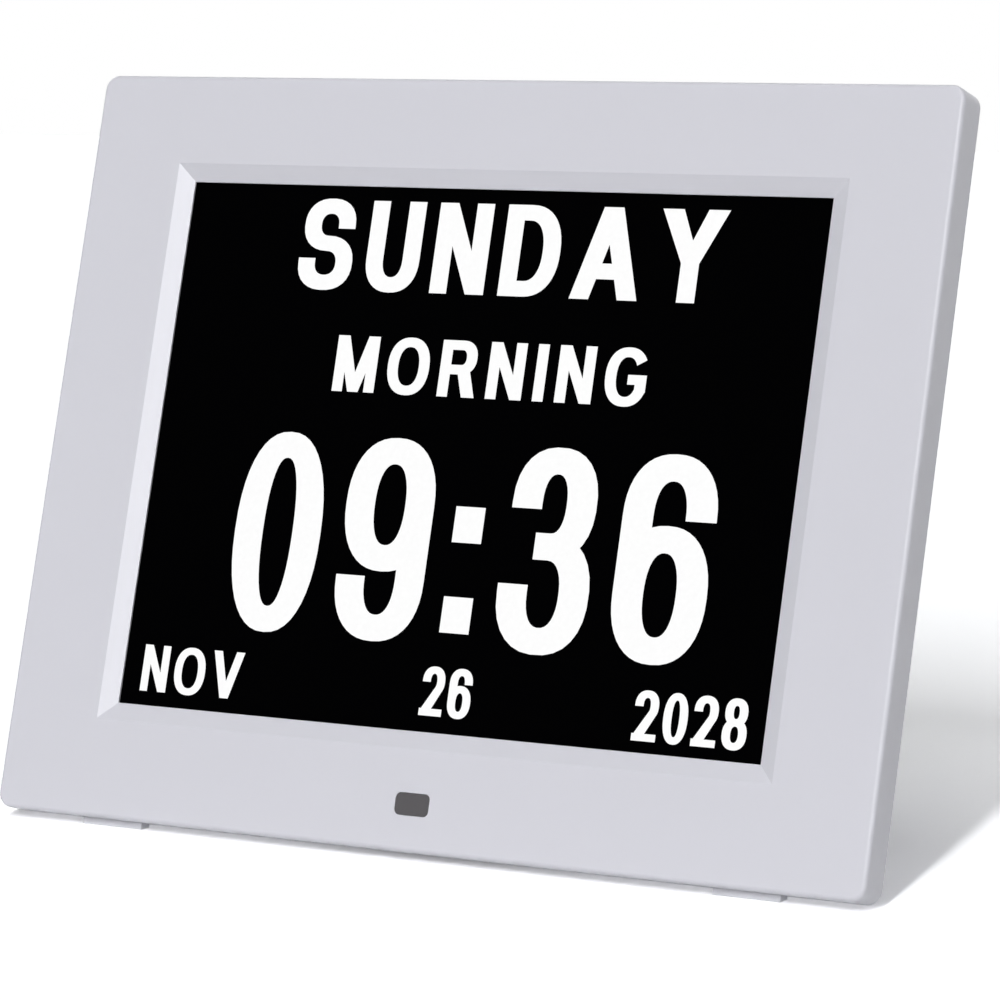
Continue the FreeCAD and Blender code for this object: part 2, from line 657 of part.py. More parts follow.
def jack_pad():
    """The thick patch of side wall behind the flat seat round the power jack."""
    size = JACK_SEAT_SIZE + COVER_WALL
    y = (JACK_Y - size / 2, min(JACK_Y + size / 2, COVER_INNER + COVER_WALL / 2))
    return slab((JACK_SEAT_X - THROUGH, JACK_FACE_X), y, (JACK_Z - size / 2, JACK_Z + size / 2))


def jack_cuts():
    y = (JACK_Y - JACK_SEAT_SIZE / 2, JACK_Y + JACK_SEAT_SIZE / 2)
    z = (JACK_Z - JACK_SEAT_SIZE / 2, JACK_Z + JACK_SEAT_SIZE / 2)
    seat = slab((JACK_SEAT_X - ROOMY, JACK_SEAT_X), y, z)
    hole = cross_rod(JACK_HOLE_RADIUS, (JACK_SEAT_X - THROUGH, JACK_FACE_X + THROUGH), JACK_Y, JACK_Z)
    return [seat, hole]


def keyhole_cuts():
    depth = (COVER_INNER - THROUGH, BACK_DEPTH + THROUGH)
    cuts = []
    for side in (-1, 1):
        x = side * KEYHOLE_X
        cuts.append(rod(KEYHOLE_RADIUS, depth, x, KEYHOLE_Z))
        reach = KEYHOLE_SLOT_LENGTH
        middle = KEYHOLE_Z + reach / 2
        cuts.append(plate(2 * KEYHOLE_SLOT_RADIUS, reach, depth, x, middle))
        cuts.append(rod(KEYHOLE_SLOT_RADIUS, depth, x, KEYHOLE_Z + reach))
    return cuts


def grille_cuts():
    """Speaker slots whose lengths follow a circle."""
    depth = (COVER_INNER - THROUGH, BACK_DEPTH + THROUGH)
    cuts = []
    reach = SPEAKER_RADIUS - SPEAKER_FLANGE
    for step in range(GRILLE_COUNT):
        offset = (step - (GRILLE_COUNT - 1) / 2) * GRILLE_PITCH
        length = 2 * math.sqrt(reach ** 2 - offset ** 2)
        cuts.append(plate(length, GRILLE_SLOT, depth, SPEAKER_X, SPEAKER_Z + offset))
    return cuts


def vent_cuts():
    depth = (COVER_INNER - THROUGH, BACK_DEPTH + THROUGH)
    cuts = []
    for step in range(VENT_COUNT):
        z = VENT_Z + (step - (VENT_COUNT - 1) / 2) * VENT_PITCH
        cuts.append(plate(VENT_LENGTH, VENT_SLOT, depth, VENT_X, z))
    return cuts


def button_spots():
    middle = (len(BUTTON_NAMES) - 1) / 2
    return [((index - middle) * BUTTON_PITCH, BUTTON_ROW_Z) for index in range(len(BUTTON_NAMES))]


def button_cuts():
    depth = (COVER_INNER - THROUGH, BACK_DEPTH + THROUGH)
    width = BUTTON_WIDTH + 2 * BUTTON_CLEARANCE
    height = BUTTON_HEIGHT + 2 * BUTTON_CLEARANCE
    radius = BUTTON_CORNER + BUTTON_CLEARANCE
    return [round_plate(width, height, radius, depth, x, z) for x, z in button_spots()]


def cover_bosses():
    """Screw bosses for both boards, and the ring that holds the speaker."""
    root = COVER_INNER + COVER_WALL / 2
    bosses = [peg(BOARD_BOSS_RADIUS, (BOARD_BACK, root), x, z) for x, z in board_screw_spots()]
    bosses += [peg(BOARD_BOSS_RADIUS, (BUTTON_BOARD_BACK, root), x, z) for x, z in button_board_screw_spots()]
    ring_inner = SPEAKER_RADIUS + SPEAKER_GAP
    ring_depth = (COVER_INNER - SPEAKER_RING_HEIGHT, root)
    ring = speaker_disc(ring_inner + SPEAKER_RING_WALL, ring_depth)
    bore = speaker_disc(ring_inner, (COVER_INNER - SPEAKER_RING_HEIGHT, COVER_INNER))
    return bosses + [ring.cut(bore)]


def cover_pilots():
    radius = SCREW_RADIUS + PILOT_CLEARANCE
    main = (BOARD_BACK, BOARD_BACK + BOARD_PILOT_DEPTH)
    small = (BUTTON_BOARD_BACK, BUTTON_BOARD_BACK + BOARD_PILOT_DEPTH)
    pilots = [peg(radius, main, x, z) for x, z in board_screw_spots()]
    return pilots + [peg(radius, small, x, z) for x, z in button_board_screw_spots()]


def well_cuts():
    cuts = []
    for x, z in case_screw_spots():
        cuts.append(rod(WELL_RADIUS, (WELL_FLOOR, SIDE_DEPTH + THROUGH), x, z))
        cuts.append(peg(SCREW_RADIUS + SCREW_CLEARANCE, (RIM_FRONT - THROUGH, WELL_FLOOR), x, z))
    return cuts


def make_rear_cover():
    raised, shell = cover_shell()
    bottom = -HUMP_HEIGHT / 2
    liner = channel(COVER_WALL, CHANNEL_FLOOR - COVER_WALL, BACK_DEPTH, CHANNEL_TOP + COVER_WALL, bottom)
    inner_parts = [liner, jack_pad()] + hinge_blocks()
    liners = [part.common(raised) for part in inner_parts]
    body = shell.fuse(liners + cover_bosses())
    pin_span = CHANNEL_HALF + HINGE_BOSS_WIDTH
    pin_hole = cross_rod(HINGE_PIN_RADIUS + HINGE_CLEARANCE, (-pin_span - THROUGH, pin_span + THROUGH),
                         HINGE_Y, HINGE_Z)
    leg_room = channel(0.0, CHANNEL_FLOOR, BACK_DEPTH + THROUGH, CHANNEL_TOP, bottom - THROUGH)
    cuts = [leg_room, pin_hole] + jack_cuts() + keyhole_cuts() + grille_cuts() + vent_cuts()
    cuts += button_cuts() + cover_pilots() + well_cuts()
    return body.cut(cuts).removeSplitter()


# ================================================================ stand
def leg_outline(inset, top, bottom):
    """The leg as seen from behind: straight sides that close in towards the foot."""
    closing = (LEG_TOP_WIDTH - LEG_FOOT_WIDTH) / 2 / LEG_REACH
    corners = []
    for z, side in ((top, -1), (top, 1), (bottom, 1), (bottom, -1)):
        half = LEG_TOP_WIDTH / 2 - inset - closing * max(0.0, HINGE_Z - z)
        corners.append((side * half, z))
    return corners


def leg_heel():
    """The short end above the pin, whose slanted face meets the channel floor when the leg is open."""
    angle = math.radians(LEG_OPEN_ANGLE)
    stop = HINGE_Y - CHANNEL_FLOOR - HEEL_GAP
    half = LEG_THICKNESS / 2
    low = (stop - half * math.cos(angle)) / math.sin(angle)
    high = (stop + half * math.cos(angle)) / math.sin(angle)
    top = min(high, HEEL_HEIGHT)
    inward = (top * math.sin(angle) - stop) / math.cos(angle)
    profile = [(-half, 0.0), (-half, low), (inward, top), (half, top), (half, 0.0)]
    spots = [point(-LEG_TOP_WIDTH / 2, HINGE_Y + y, HINGE_Z + z) for y, z in profile]
    return Part.Face(Part.makePolygon(spots + spots[:1])).extrude(point(LEG_TOP_WIDTH, 0, 0))


def leg_hollows():
    """The pockets between the leg's rims and cross ribs, open to the case side."""
    top = HINGE_Z - HINGE_BARREL_RADIUS - LEG_RIM
    bottom = HINGE_Z - LEG_REACH + FOOT_PAD_THICKNESS + 2 * LEG_RIM
    depth = (HINGE_Y - LEG_THICKNESS / 2, HINGE_Y + LEG_THICKNESS / 2 - LEG_SKIN)
    whole = drawn_plate(leg_outline(LEG_RIM, top, bottom), depth)
    ribs = []
    for step in range(1, LEG_RIB_COUNT + 1):
        z = bottom + (top - bottom) * step / (LEG_RIB_COUNT + 1)
        ribs.append(plate(LEG_TOP_WIDTH, LEG_RIB, depth, 0, z))
    return whole.cut(ribs)


def leg_grip(foot_z):
    """A finger scoop in the rear edge of the foot."""
    radius = GRIP_WIDTH / 2
    centre = point(0, HINGE_Y + LEG_THICKNESS / 2 + radius - GRIP_DEPTH, foot_z)
    return Part.makeCylinder(radius, GRIP_WIDTH, centre - UPWARD * GRIP_WIDTH / 2, UPWARD)


def folded_leg():
    """The leg as it lies folded, longer than needed, so that it can be cut level at the foot."""
    foot_z = HINGE_Z - LEG_REACH
    long_end = foot_z - LEG_THICKNESS
    depth = (HINGE_Y - LEG_THICKNESS / 2, HINGE_Y + LEG_THICKNESS / 2)
    blade = drawn_plate(leg_outline(0.0, HINGE_Z, long_end), depth)
    half = LEG_TOP_WIDTH / 2
    barrel = cross_rod(HINGE_BARREL_RADIUS, (-half, half), HINGE_Y, HINGE_Z)
    body = blade.fuse([barrel, leg_heel()])
    bore = cross_rod(HINGE_PIN_RADIUS + HINGE_CLEARANCE, (-half - THROUGH, half + THROUGH), HINGE_Y, HINGE_Z)
    return body.cut([bore, leg_hollows()])


def opened(shape):
    """A folded leg part, swung open about the hinge pin."""
    turned = shape.copy()
    turned.rotate(point(0, HINGE_Y, HINGE_Z), TO_RIGHT, LEG_OPEN_ANGLE)
    return turned


def make_stand_leg():
    foot_z = HINGE_Z - LEG_REACH
    scooped = folded_leg().cut(leg_grip(foot_z + FOOT_PAD_THICKNESS + GRIP_WIDTH / 2))
    return level_cut(opened(scooped), FOOT_PAD_THICKNESS).removeSplitter()


def make_stand_foot_pad():
    """The rubber sole of the leg: level underneath, and as wide as the leg there."""
    sole = opened(folded_leg()).common(table_block(FOOT_PAD_THICKNESS))
    return level_cut(sole, 0.0).removeSplitter()


def make_stand_pin():
    half = CHANNEL_HALF + HINGE_BOSS_WIDTH
    return cross_rod(HINGE_PIN_RADIUS, (-half, half), HINGE_Y, HINGE_Z)


# ================================================================ display module
def make_lcd_frame():
    """The folded sheet-metal frame round the glass."""
    back = MODULE_FRONT + FRAME_LIP_DEPTH
    shell = plate(MODULE_WIDTH, MODULE_HEIGHT, (MODULE_FRONT, back), 0, WINDOW_Z)
    inner = plate(MODULE_WIDTH - 2 * MODULE_SHEET, MODULE_HEIGHT - 2 * MODULE_SHEET,
                  (MODULE_FRONT + MODULE_SHEET, back), 0, WINDOW_Z)
    margin = 2 * MODULE_WINDOW_MARGIN
    view = plate(WINDOW_WIDTH + margin, WINDOW_HEIGHT + margin, (MODULE_FRONT, back), 0, WINDOW_Z)
    return shell.cut([inner, view])


def make_lcd_panel():
    return plate(GLASS_WIDTH, GLASS_HEIGHT, (GLASS_FRONT, GLASS_FRONT + GLASS_THICKNESS), 0, WINDOW_Z)


def make_film(front):
    return plate(FILM_WIDTH, FILM_HEIGHT, (front, front + FILM_THICKNESS), 0, WINDOW_Z)


def guide_bottom():
    return WINDOW_Z - FILM_HEIGHT / 2 + LED_SIZE + LED_BAR


def make_light_guide():
    z = (guide_bottom(), WINDOW_Z + FILM_HEIGHT / 2)
    y = (GUIDE_FRONT, GUIDE_FRONT + LIGHT_GUIDE_THICKNESS)
    return slab((-FILM_WIDTH / 2, FILM_WIDTH / 2), y, z)


def make_led_strip():
    """The light bar: lamps in a row on a narrow board, against the bottom edge of the light guide."""
    top = guide_bottom()
    y = (GUIDE_FRONT, GUIDE_FRONT + LIGHT_GUIDE_THICKNESS)
    bar = slab((-FILM_WIDTH / 2, FILM_WIDTH / 2), y, (top - LED_SIZE - LED_BAR, top - LED_SIZE))
    pitch = FILM_WIDTH / LED_COUNT
    lamps = []
    for step in range(LED_COUNT):
        x = (step - (LED_COUNT - 1) / 2) * pitch
        lamps.append(slab((x - LED_SIZE, x + LED_SIZE), y, (top - LED_SIZE, top)))
    return bar.fuse(lamps).removeSplitter()


def make_backlight_tray():
    """The moulded tray that the glass, films and light guide lie in."""
    front = MODULE_FRONT + MODULE_SHEET
    body = plate(TRAY_WIDTH, TRAY_HEIGHT, (front, MODULE_BACK), 0, WINDOW_Z)
    pocket = plate(TRAY_WIDTH - 2 * TRAY_WALL, TRAY_HEIGHT - 2 * TRAY_WALL,
                   (front, MODULE_BACK - TRAY_FLOOR), 0, WINDOW_Z)
    return body.cut(pocket)


def make_lcd_bracket(side):
    """A strip of folded sheet that clamps one side of the module to the bezel."""
    inner = MODULE_HALF_WIDTH + SEAT_GAP
    outer = inner + BRACKET_SHEET
    foot_front, foot_back = BRACKET_BOSS_TOP, BRACKET_BOSS_TOP + BRACKET_SHEET
    lip_front, lip_back = MODULE_BACK, MODULE_BACK + BRACKET_SHEET
    section = [(inner + BRACKET_FOOT, foot_front), (inner + BRACKET_FOOT, foot_back), (outer, foot_back),
               (outer, lip_back), (inner - BRACKET_LIP, lip_back), (inner - BRACKET_LIP, lip_front),
               (inner, lip_front), (inner, foot_front)]
    low = WINDOW_Z - BRACKET_LENGTH / 2
    spots = [point(side * x, y, low) for x, y in section]
    bar = Part.Face(Part.makePolygon(spots + spots[:1])).extrude(UPWARD * BRACKET_LENGTH)
    radius = SCREW_RADIUS + SCREW_CLEARANCE
    holes = [peg(radius, (foot_front, foot_back), x, z) for x, z in bracket_screw_spots(side)]
    return bar.cut(holes)


# ================================================================ sensor
def make_sensor_window():
    """The dark lens that fills the hole below the screen, with a flange behind the face."""
    lens = round_plate(SENSOR_WIDTH - 2 * SEAT_GAP, SENSOR_HEIGHT - 2 * SEAT_GAP, SENSOR_CORNER - SEAT_GAP,
                       (SEAT_GAP, FRONT_WALL), 0, SENSOR_Z)
    flange = plate(SENSOR_WIDTH + 2 * SENSOR_FLANGE, SENSOR_HEIGHT + 2 * SENSOR_FLANGE,
                   (FRONT_WALL, SENSOR_FLANGE_BACK), 0, SENSOR_Z)
    return joined([lens, flange])


def make_infrared_receiver():
    depth = (SENSOR_FLANGE_BACK, SENSOR_BOARD_FRONT)
    return plate(RECEIVER_WIDTH, RECEIVER_HEIGHT, depth, 0, SENSOR_Z)


def make_sensor_board():
    return plate(SENSOR_BOARD_WIDTH, SENSOR_BOARD_HEIGHT, (SENSOR_BOARD_FRONT, SENSOR_BOARD_BACK),
                 SENSOR_BOARD_SHIFT, SENSOR_Z)


# ================================================================ boards and what stands on them
def make_main_board():
    board = slab((BOARD_LEFT, BOARD_RIGHT), (BOARD_FRONT, BOARD_BACK), (BOARD_BOTTOM, BOARD_TOP))
    depth = (BOARD_FRONT, BOARD_BACK)
    return board.cut([peg(SCREW_RADIUS + SCREW_CLEARANCE, depth, x, z) for x, z in board_screw_spots()])


def make_button_board():
    depth = (BUTTON_BOARD_FRONT, BUTTON_BOARD_BACK)
    board = plate(BUTTON_BOARD_WIDTH, BUTTON_BOARD_HEIGHT, depth, 0, BUTTON_ROW_Z)
    radius = SCREW_RADIUS + SCREW_CLEARANCE
    return board.cut([peg(radius, depth, x, z) for x, z in button_board_screw_spots()])


def on_board(width, length, height, x, z):
    """A block that stands on the back of the main board."""
    return plate(width, length, (BOARD_BACK, BOARD_BACK + height), x, z)


def make_processor_chip():
    """A flat square chip with a row of leads along each side."""
    z = BOARD_TOP - PROCESSOR_DROP
    body = on_board(PROCESSOR_SIZE, PROCESSOR_SIZE, PROCESSOR_HEIGHT, PROCESSOR_X, z)
    reach = PROCESSOR_SIZE + 2 * LEAD_REACH
    length = PROCESSOR_SIZE - 2 * LEAD_REACH
    across = on_board(reach, length, LEAD_THICKNESS, PROCESSOR_X, z)
    upright = on_board(length, reach, LEAD_THICKNESS, PROCESSOR_X, z)
    return joined([body, across, upright])


def make_memory_chip():
    z = BOARD_TOP - MEMORY_DROP
    body = on_board(MEMORY_LENGTH, MEMORY_WIDTH, MEMORY_HEIGHT, MEMORY_X, z)
    leads = on_board(MEMORY_LENGTH - LEAD_REACH, MEMORY_WIDTH + 2 * LEAD_REACH, LEAD_THICKNESS, MEMORY_X, z)
    return joined([body, leads])


def make_power_inductor():
    depth = (BOARD_BACK, BOARD_BACK + INDUCTOR_HEIGHT)
    return round_plate(INDUCTOR_SIZE, INDUCTOR_SIZE, INDUCTOR_CORNER, depth, COLUMN_X, INDUCTOR_Z)


def make_capacitor(radius, height, z):
    """A round can on its square base."""
    base = on_board(2 * radius, 2 * radius, LEAD_THICKNESS, COLUMN_X, z)
    can = disc(radius, (BOARD_BACK + LEAD_THICKNESS, BOARD_BACK + height), COLUMN_X, z)
    return joined([base, can])


def make_clock_crystal():
    depth = (BOARD_BACK, BOARD_BACK + CRYSTAL_HEIGHT)
    corner = CRYSTAL_WIDTH / 2 - SEAT_GAP
    return round_plate(CRYSTAL_LENGTH, CRYSTAL_WIDTH, corner, depth, CRYSTAL_X, BOARD_TOP - CRYSTAL_DROP)


def make_coin_cell():
    front = BOARD_BACK + HOLDER_FLOOR
    return disc(CELL_RADIUS, (front, front + CELL_THICKNESS), CELL_X, BOARD_TOP - CELL_DROP)


def make_coin_cell_holder():
    """A low round cup with a notch in its wall for lifting the cell out."""
    z = BOARD_TOP - CELL_DROP
    outer = CELL_RADIUS + CELL_GAP + HOLDER_WALL
    top = BOARD_BACK + HOLDER_FLOOR + CELL_THICKNESS
    cup = disc(outer, (BOARD_BACK, top), CELL_X, z)
    bore = disc(CELL_RADIUS + CELL_GAP, (BOARD_BACK + HOLDER_FLOOR, top), CELL_X, z)
    notch = slab((CELL_X - HOLDER_NOTCH / 2, CELL_X + HOLDER_NOTCH / 2), (BOARD_BACK + HOLDER_FLOOR, top),
                 (z, z + 2 * outer))
    return cup.cut([bore, notch])


def make_dc_jack():
    """The power socket: a moulded body with a round mouth and a centre pin."""
    y = (BOARD_BACK, BOARD_BACK + JACK_HEIGHT)
    z = (JACK_Z - JACK_WIDTH / 2, JACK_Z + JACK_WIDTH / 2)
    body = slab((JACK_FACE_X, JACK_FACE_X + JACK_LENGTH), y, z)
    mouth = cross_rod(JACK_MOUTH_RADIUS, (JACK_FACE_X, JACK_FACE_X + JACK_MOUTH_DEPTH), JACK_Y, JACK_Z)
    pin = cross_rod(JACK_PIN_RADIUS, (JACK_FACE_X + THROUGH, JACK_FACE_X + JACK_MOUTH_DEPTH), JACK_Y, JACK_Z)
    return body.cut(mouth.cut(pin))


def make_socket(x, z, mouth):
    """A small open-fronted plug socket; mouth is the direction it opens in."""
    sizes = (PLUG_WIDTH, PLUG_LENGTH) if mouth.x else (PLUG_LENGTH, PLUG_WIDTH)
    body = on_board(sizes[0], sizes[1], PLUG_HEIGHT, x, z)
    room = plate(sizes[0] - 2 * PLUG_WALL, sizes[1] - 2 * PLUG_WALL,
                 (BOARD_BACK + PLUG_WALL, BOARD_BACK + PLUG_HEIGHT - PLUG_WALL), x, z)
    room.translate(mouth * (2 * PLUG_WALL))
    return body.cut(room)


def make_ribbon_connector():
    z = BOARD_BOTTOM + RIBBON_PLUG_LENGTH / 2
    return on_board(RIBBON_PLUG_WIDTH, RIBBON_PLUG_LENGTH, RIBBON_PLUG_HEIGHT, RIBBON_X, z)


def make_display_ribbon():
    """The flat cable from the back of the display round to the edge of the main board."""
    level = BOARD_BACK + RIBBON_PLUG_HEIGHT / 2
    low = MODULE_BOTTOM + RIBBON_EXIT_RISE
    route = [point(RIBBON_X, MODULE_BACK, low), point(RIBBON_X, level, low),
             point(RIBBON_X, level, BOARD_BOTTOM)]
    return strip(route, RIBBON_BEND, TO_RIGHT, RIBBON_THICKNESS, RIBBON_WIDTH)


def make_sensor_wires():
    """The band of wires from the sensor board up to the main board."""
    low = SENSOR_Z + SENSOR_BOARD_HEIGHT / 2
    level = BOARD_BACK + WIRE_THICKNESS / 2
    route = [point(SENSOR_WIRE_X, SENSOR_BOARD_BACK, low), point(SENSOR_WIRE_X, level, low),
             point(SENSOR_WIRE_X, level, BOARD_BOTTOM + WIRE_BAND)]
    return strip(route, WIRE_BEND, TO_RIGHT, WIRE_THICKNESS, WIRE_BAND)


def make_button_wires():
    """The band of wires from the button board down to its socket."""
    start = BUTTON_BOARD_BACK + WIRE_THICKNESS / 2
    level = BOARD_BACK + PLUG_HEIGHT / 2
    high = BUTTON_ROW_Z - BUTTON_BOARD_HEIGHT / 2
    socket_z = BOARD_TOP
    bend_z = (high + socket_z) / 2
    route = [point(BUTTON_PLUG_X, start, high + WIRE_BAND), point(BUTTON_PLUG_X, start, bend_z + WIRE_BEND),
             point(BUTTON_PLUG_X, level, bend_z - WIRE_BEND), point(BUTTON_PLUG_X, level, socket_z)]
    return strip(route, WIRE_BEND / 2, TO_RIGHT, WIRE_THICKNESS, WIRE_BAND)


def make_speaker_wires():
    """The band of wires from the speaker's edge to its socket."""
    level = BOARD_BACK + PLUG_HEIGHT / 2
    top = SPEAKER_BACK - SPEAKER_RING_HEIGHT - WIRE_THICKNESS
    end = SPEAKER_X - MAGNET_RADIUS - LAYER_GAP
    bend_x = (BOARD_RIGHT + SPEAKER_X - SPEAKER_RADIUS) / 2
    rise = WIRE_BEND
    route = [point(BOARD_RIGHT, level, SPEAKER_Z), point(bend_x - rise, level, SPEAKER_Z),
             point(bend_x + rise, top, SPEAKER_Z), point(end, top, SPEAKER_Z)]
    return strip(route, WIRE_BEND / 2, UPWARD, WIRE_THICKNESS, WIRE_BAND)


# ================================================================ speaker
def speaker_disc(radius, y):
    return disc(radius, y, SPEAKER_X, SPEAKER_Z)


def speaker_bowl(front_radius, back_radius, y):
    """A bowl shape about the speaker's axis, with flat panels from a front ring to a back ring."""
    rings = []
    for radius, depth in zip((front_radius, back_radius), y):
        corners = flat_ring(radius, SPEAKER_X, SPEAKER_Z, ROUND_FLATS)
        rings.append([point(x, depth, z) for x, z in corners])
    front, back = rings
    outlines = [front, back]
    for flat in range(ROUND_FLATS):
        after = (flat + 1) % ROUND_FLATS
        outlines.append([front[flat], front[after], back[after], back[flat]])
    panels = [Part.Face(Part.makePolygon(outline + outline[:1])) for outline in outlines]
    return Part.Solid(Part.Shell(panels))


def make_speaker_frame():
    """The pressed basket: a flat rim, sloping side and a floor with a hole for the magnet's core."""
    bowl = SPEAKER_RADIUS - SPEAKER_FLANGE
    front = SPEAKER_FRONT + MAGNET_THICKNESS
    rim_front = SPEAKER_BACK - SPEAKER_SHEET
    rim = speaker_disc(SPEAKER_RADIUS, (rim_front, SPEAKER_BACK))
    outside = speaker_bowl(MAGNET_RADIUS + SPEAKER_SHEET, bowl, (front, rim_front))
    inside = speaker_bowl(MAGNET_RADIUS, bowl - SPEAKER_SHEET, (front + SPEAKER_SHEET, SPEAKER_BACK))
    hole = speaker_disc(CONE_THROAT_RADIUS, (front, front + SPEAKER_SHEET))
    return rim.fuse(outside).cut([inside, hole]).removeSplitter()


def make_speaker_magnet():
    return speaker_disc(MAGNET_RADIUS, (SPEAKER_FRONT, SPEAKER_FRONT + MAGNET_THICKNESS))


def make_speaker_cone():
    """The shallow paper cone with its dust cap, inside the basket."""
    throat = SPEAKER_FRONT + MAGNET_THICKNESS + SPEAKER_SHEET + LAYER_GAP
    rim = SPEAKER_RADIUS - SPEAKER_FLANGE - SPEAKER_SHEET - 2 * SEAT_GAP
    back = SPEAKER_BACK - LAYER_GAP
    outside = speaker_bowl(CONE_THROAT_RADIUS, rim, (throat, back))
    inside = speaker_bowl(CONE_THROAT_RADIUS, rim - 2 * CONE_WALL, (throat + CONE_WALL, back))
    cap_depth = (throat + CONE_WALL, throat + 3 * CONE_WALL)
    cap = speaker_bowl(CONE_THROAT_RADIUS, CONE_THROAT_RADIUS / 2, cap_depth)
    return outside.cut(inside).fuse(cap).removeSplitter()


# ================================================================ buttons
def make_button(x, z):
    """A cap with a keeping flange inside the cover and a stem that reaches its switch."""
    cap = round_plate(BUTTON_WIDTH, BUTTON_HEIGHT, BUTTON_CORNER,
                      (BUTTON_FLANGE_BACK, BACK_DEPTH + BUTTON_PROUD), x, z)
    cap = cap.makeChamfer(BUTTON_EDGE, edges_at_depth(cap, BACK_DEPTH + BUTTON_PROUD))
    flange = plate(BUTTON_WIDTH + 2 * BUTTON_FLANGE, BUTTON_HEIGHT + 2 * BUTTON_FLANGE,
                   (BUTTON_FLANGE_FRONT, BUTTON_FLANGE_BACK), x, z)
    stem = peg(BUTTON_STEM_RADIUS, (PLUNGER_TIP, BUTTON_FLANGE_FRONT), x, z)
    return joined([cap, flange, stem])


def make_plunger(x, z):
    return peg(PLUNGER_RADIUS, (SWITCH_TOP - PLUNGER_SUNK, PLUNGER_TIP), x, z)


def make_switch(x, z):
    """A square press switch with a well for its plunger."""
    body = plate(SWITCH_SIZE, SWITCH_SIZE, (BUTTON_BOARD_BACK, SWITCH_TOP), x, z)
    return body.cut(peg(PLUNGER_RADIUS + PLUNGER_CLEARANCE, (SWITCH_TOP - SWITCH_WELL, SWITCH_TOP), x, z))


# ================================================================ every piece by name
def all_parts():
    parts = {
        "front_bezel": make_front_bezel(),
        "rear_cover": make_rear_cover(),
        "case_screws": make_case_screws(),
        "rubber_foot_left": make_rubber_foot(-1),
        "rubber_foot_right": make_rubber_foot(1),
        "stand_leg": make_stand_leg(),
        "stand_foot_pad": make_stand_foot_pad(),
        "stand_pin": make_stand_pin(),
        "lcd_frame": make_lcd_frame(),
        "lcd_panel": make_lcd_panel(),
        "diffuser_sheet": make_film(DIFFUSER_FRONT),
        "light_guide": make_light_guide(),
        "reflector_sheet": make_film(REFLECTOR_FRONT),
        "backlight_led_strip": make_led_strip(),
        "backlight_tray": make_backlight_tray(),
        "lcd_bracket_left": make_lcd_bracket(-1),
        "lcd_bracket_right": make_lcd_bracket(1),
        "bracket_screws": make_bracket_screws(),
        "sensor_window": make_sensor_window(),
        "infrared_receiver": make_infrared_receiver(),
        "sensor_board": make_sensor_board(),
        "sensor_wires": make_sensor_wires(),
        "main_board": make_main_board(),
        "board_screws": make_board_screws(),
        "processor_chip": make_processor_chip(),
        "memory_chip": make_memory_chip(),
        "power_inductor": make_power_inductor(),
        "large_capacitor": make_capacitor(LARGE_CAP_RADIUS, LARGE_CAP_HEIGHT, LARGE_CAP_Z),
        "small_capacitor": make_capacitor(SMALL_CAP_RADIUS, SMALL_CAP_HEIGHT, SMALL_CAP_Z),
        "clock_crystal": make_clock_crystal(),
        "coin_cell_holder": make_coin_cell_holder(),
        "coin_cell": make_coin_cell(),
        "dc_jack": make_dc_jack(),
        "speaker_socket": make_socket(BOARD_RIGHT - PLUG_WIDTH / 2, SPEAKER_Z, TO_RIGHT),
        "button_socket": make_socket(BUTTON_PLUG_X, BOARD_TOP - PLUG_WIDTH / 2, UPWARD),
        "ribbon_connector": make_ribbon_connector(),
        "display_ribbon": make_display_ribbon(),
        "speaker_frame": make_speaker_frame(),
        "speaker_magnet": make_speaker_magnet(),
        "speaker_cone": make_speaker_cone(),
        "speaker_wires": make_speaker_wires(),
        "button_board": make_button_board(),
        "button_wires": make_button_wires(),
    }
    for name, (x, z) in zip(BUTTON_NAMES, button_spots()):
        parts[name + "_button"] = make_button(x, z)
        parts[name + "_plunger"] = make_plunger(x, z)
        parts[name + "_switch"] = make_switch(x, z)
    return parts


def set_down(parts):
    """Lean every piece back together, with the table at zero and the whole centred over the origin."""
    for shape in parts.values():
        shape.rotate(point(0, 0, 0), TO_RIGHT, -LEAN)
    bounds = Part.Compound(list(parts.values())).optimalBoundingBox(False)
    middle = point(-(bounds.XMin + bounds.XMax) / 2, -(bounds.YMin + bounds.YMax) / 2, -TABLE_LEVEL)
    for shape in parts.values():
        shape.translate(middle)
    return middle


pieces = all_parts()
moved = set_down(pieces)
for node, shape in pieces.items():
    shape.exportStep("parts/" + node + ".step")
print(len(pieces), "pieces; moved by", moved)
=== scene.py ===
# %% [markdown]
# # A desk day clock, dressed for its picture
# This lesson takes the finished mechanical model of a desk clock and gives it its looks. The
# mechanical model is the frame: every shell, button and screw already has its real size and
# place. Blender adds surfaces, soft edges, screen lettering and light. It never moves or resizes
# the frame.

# %% Load the frame
import bpy
import bmesh
import json
import math
from mathutils import Matrix, Vector, geometry


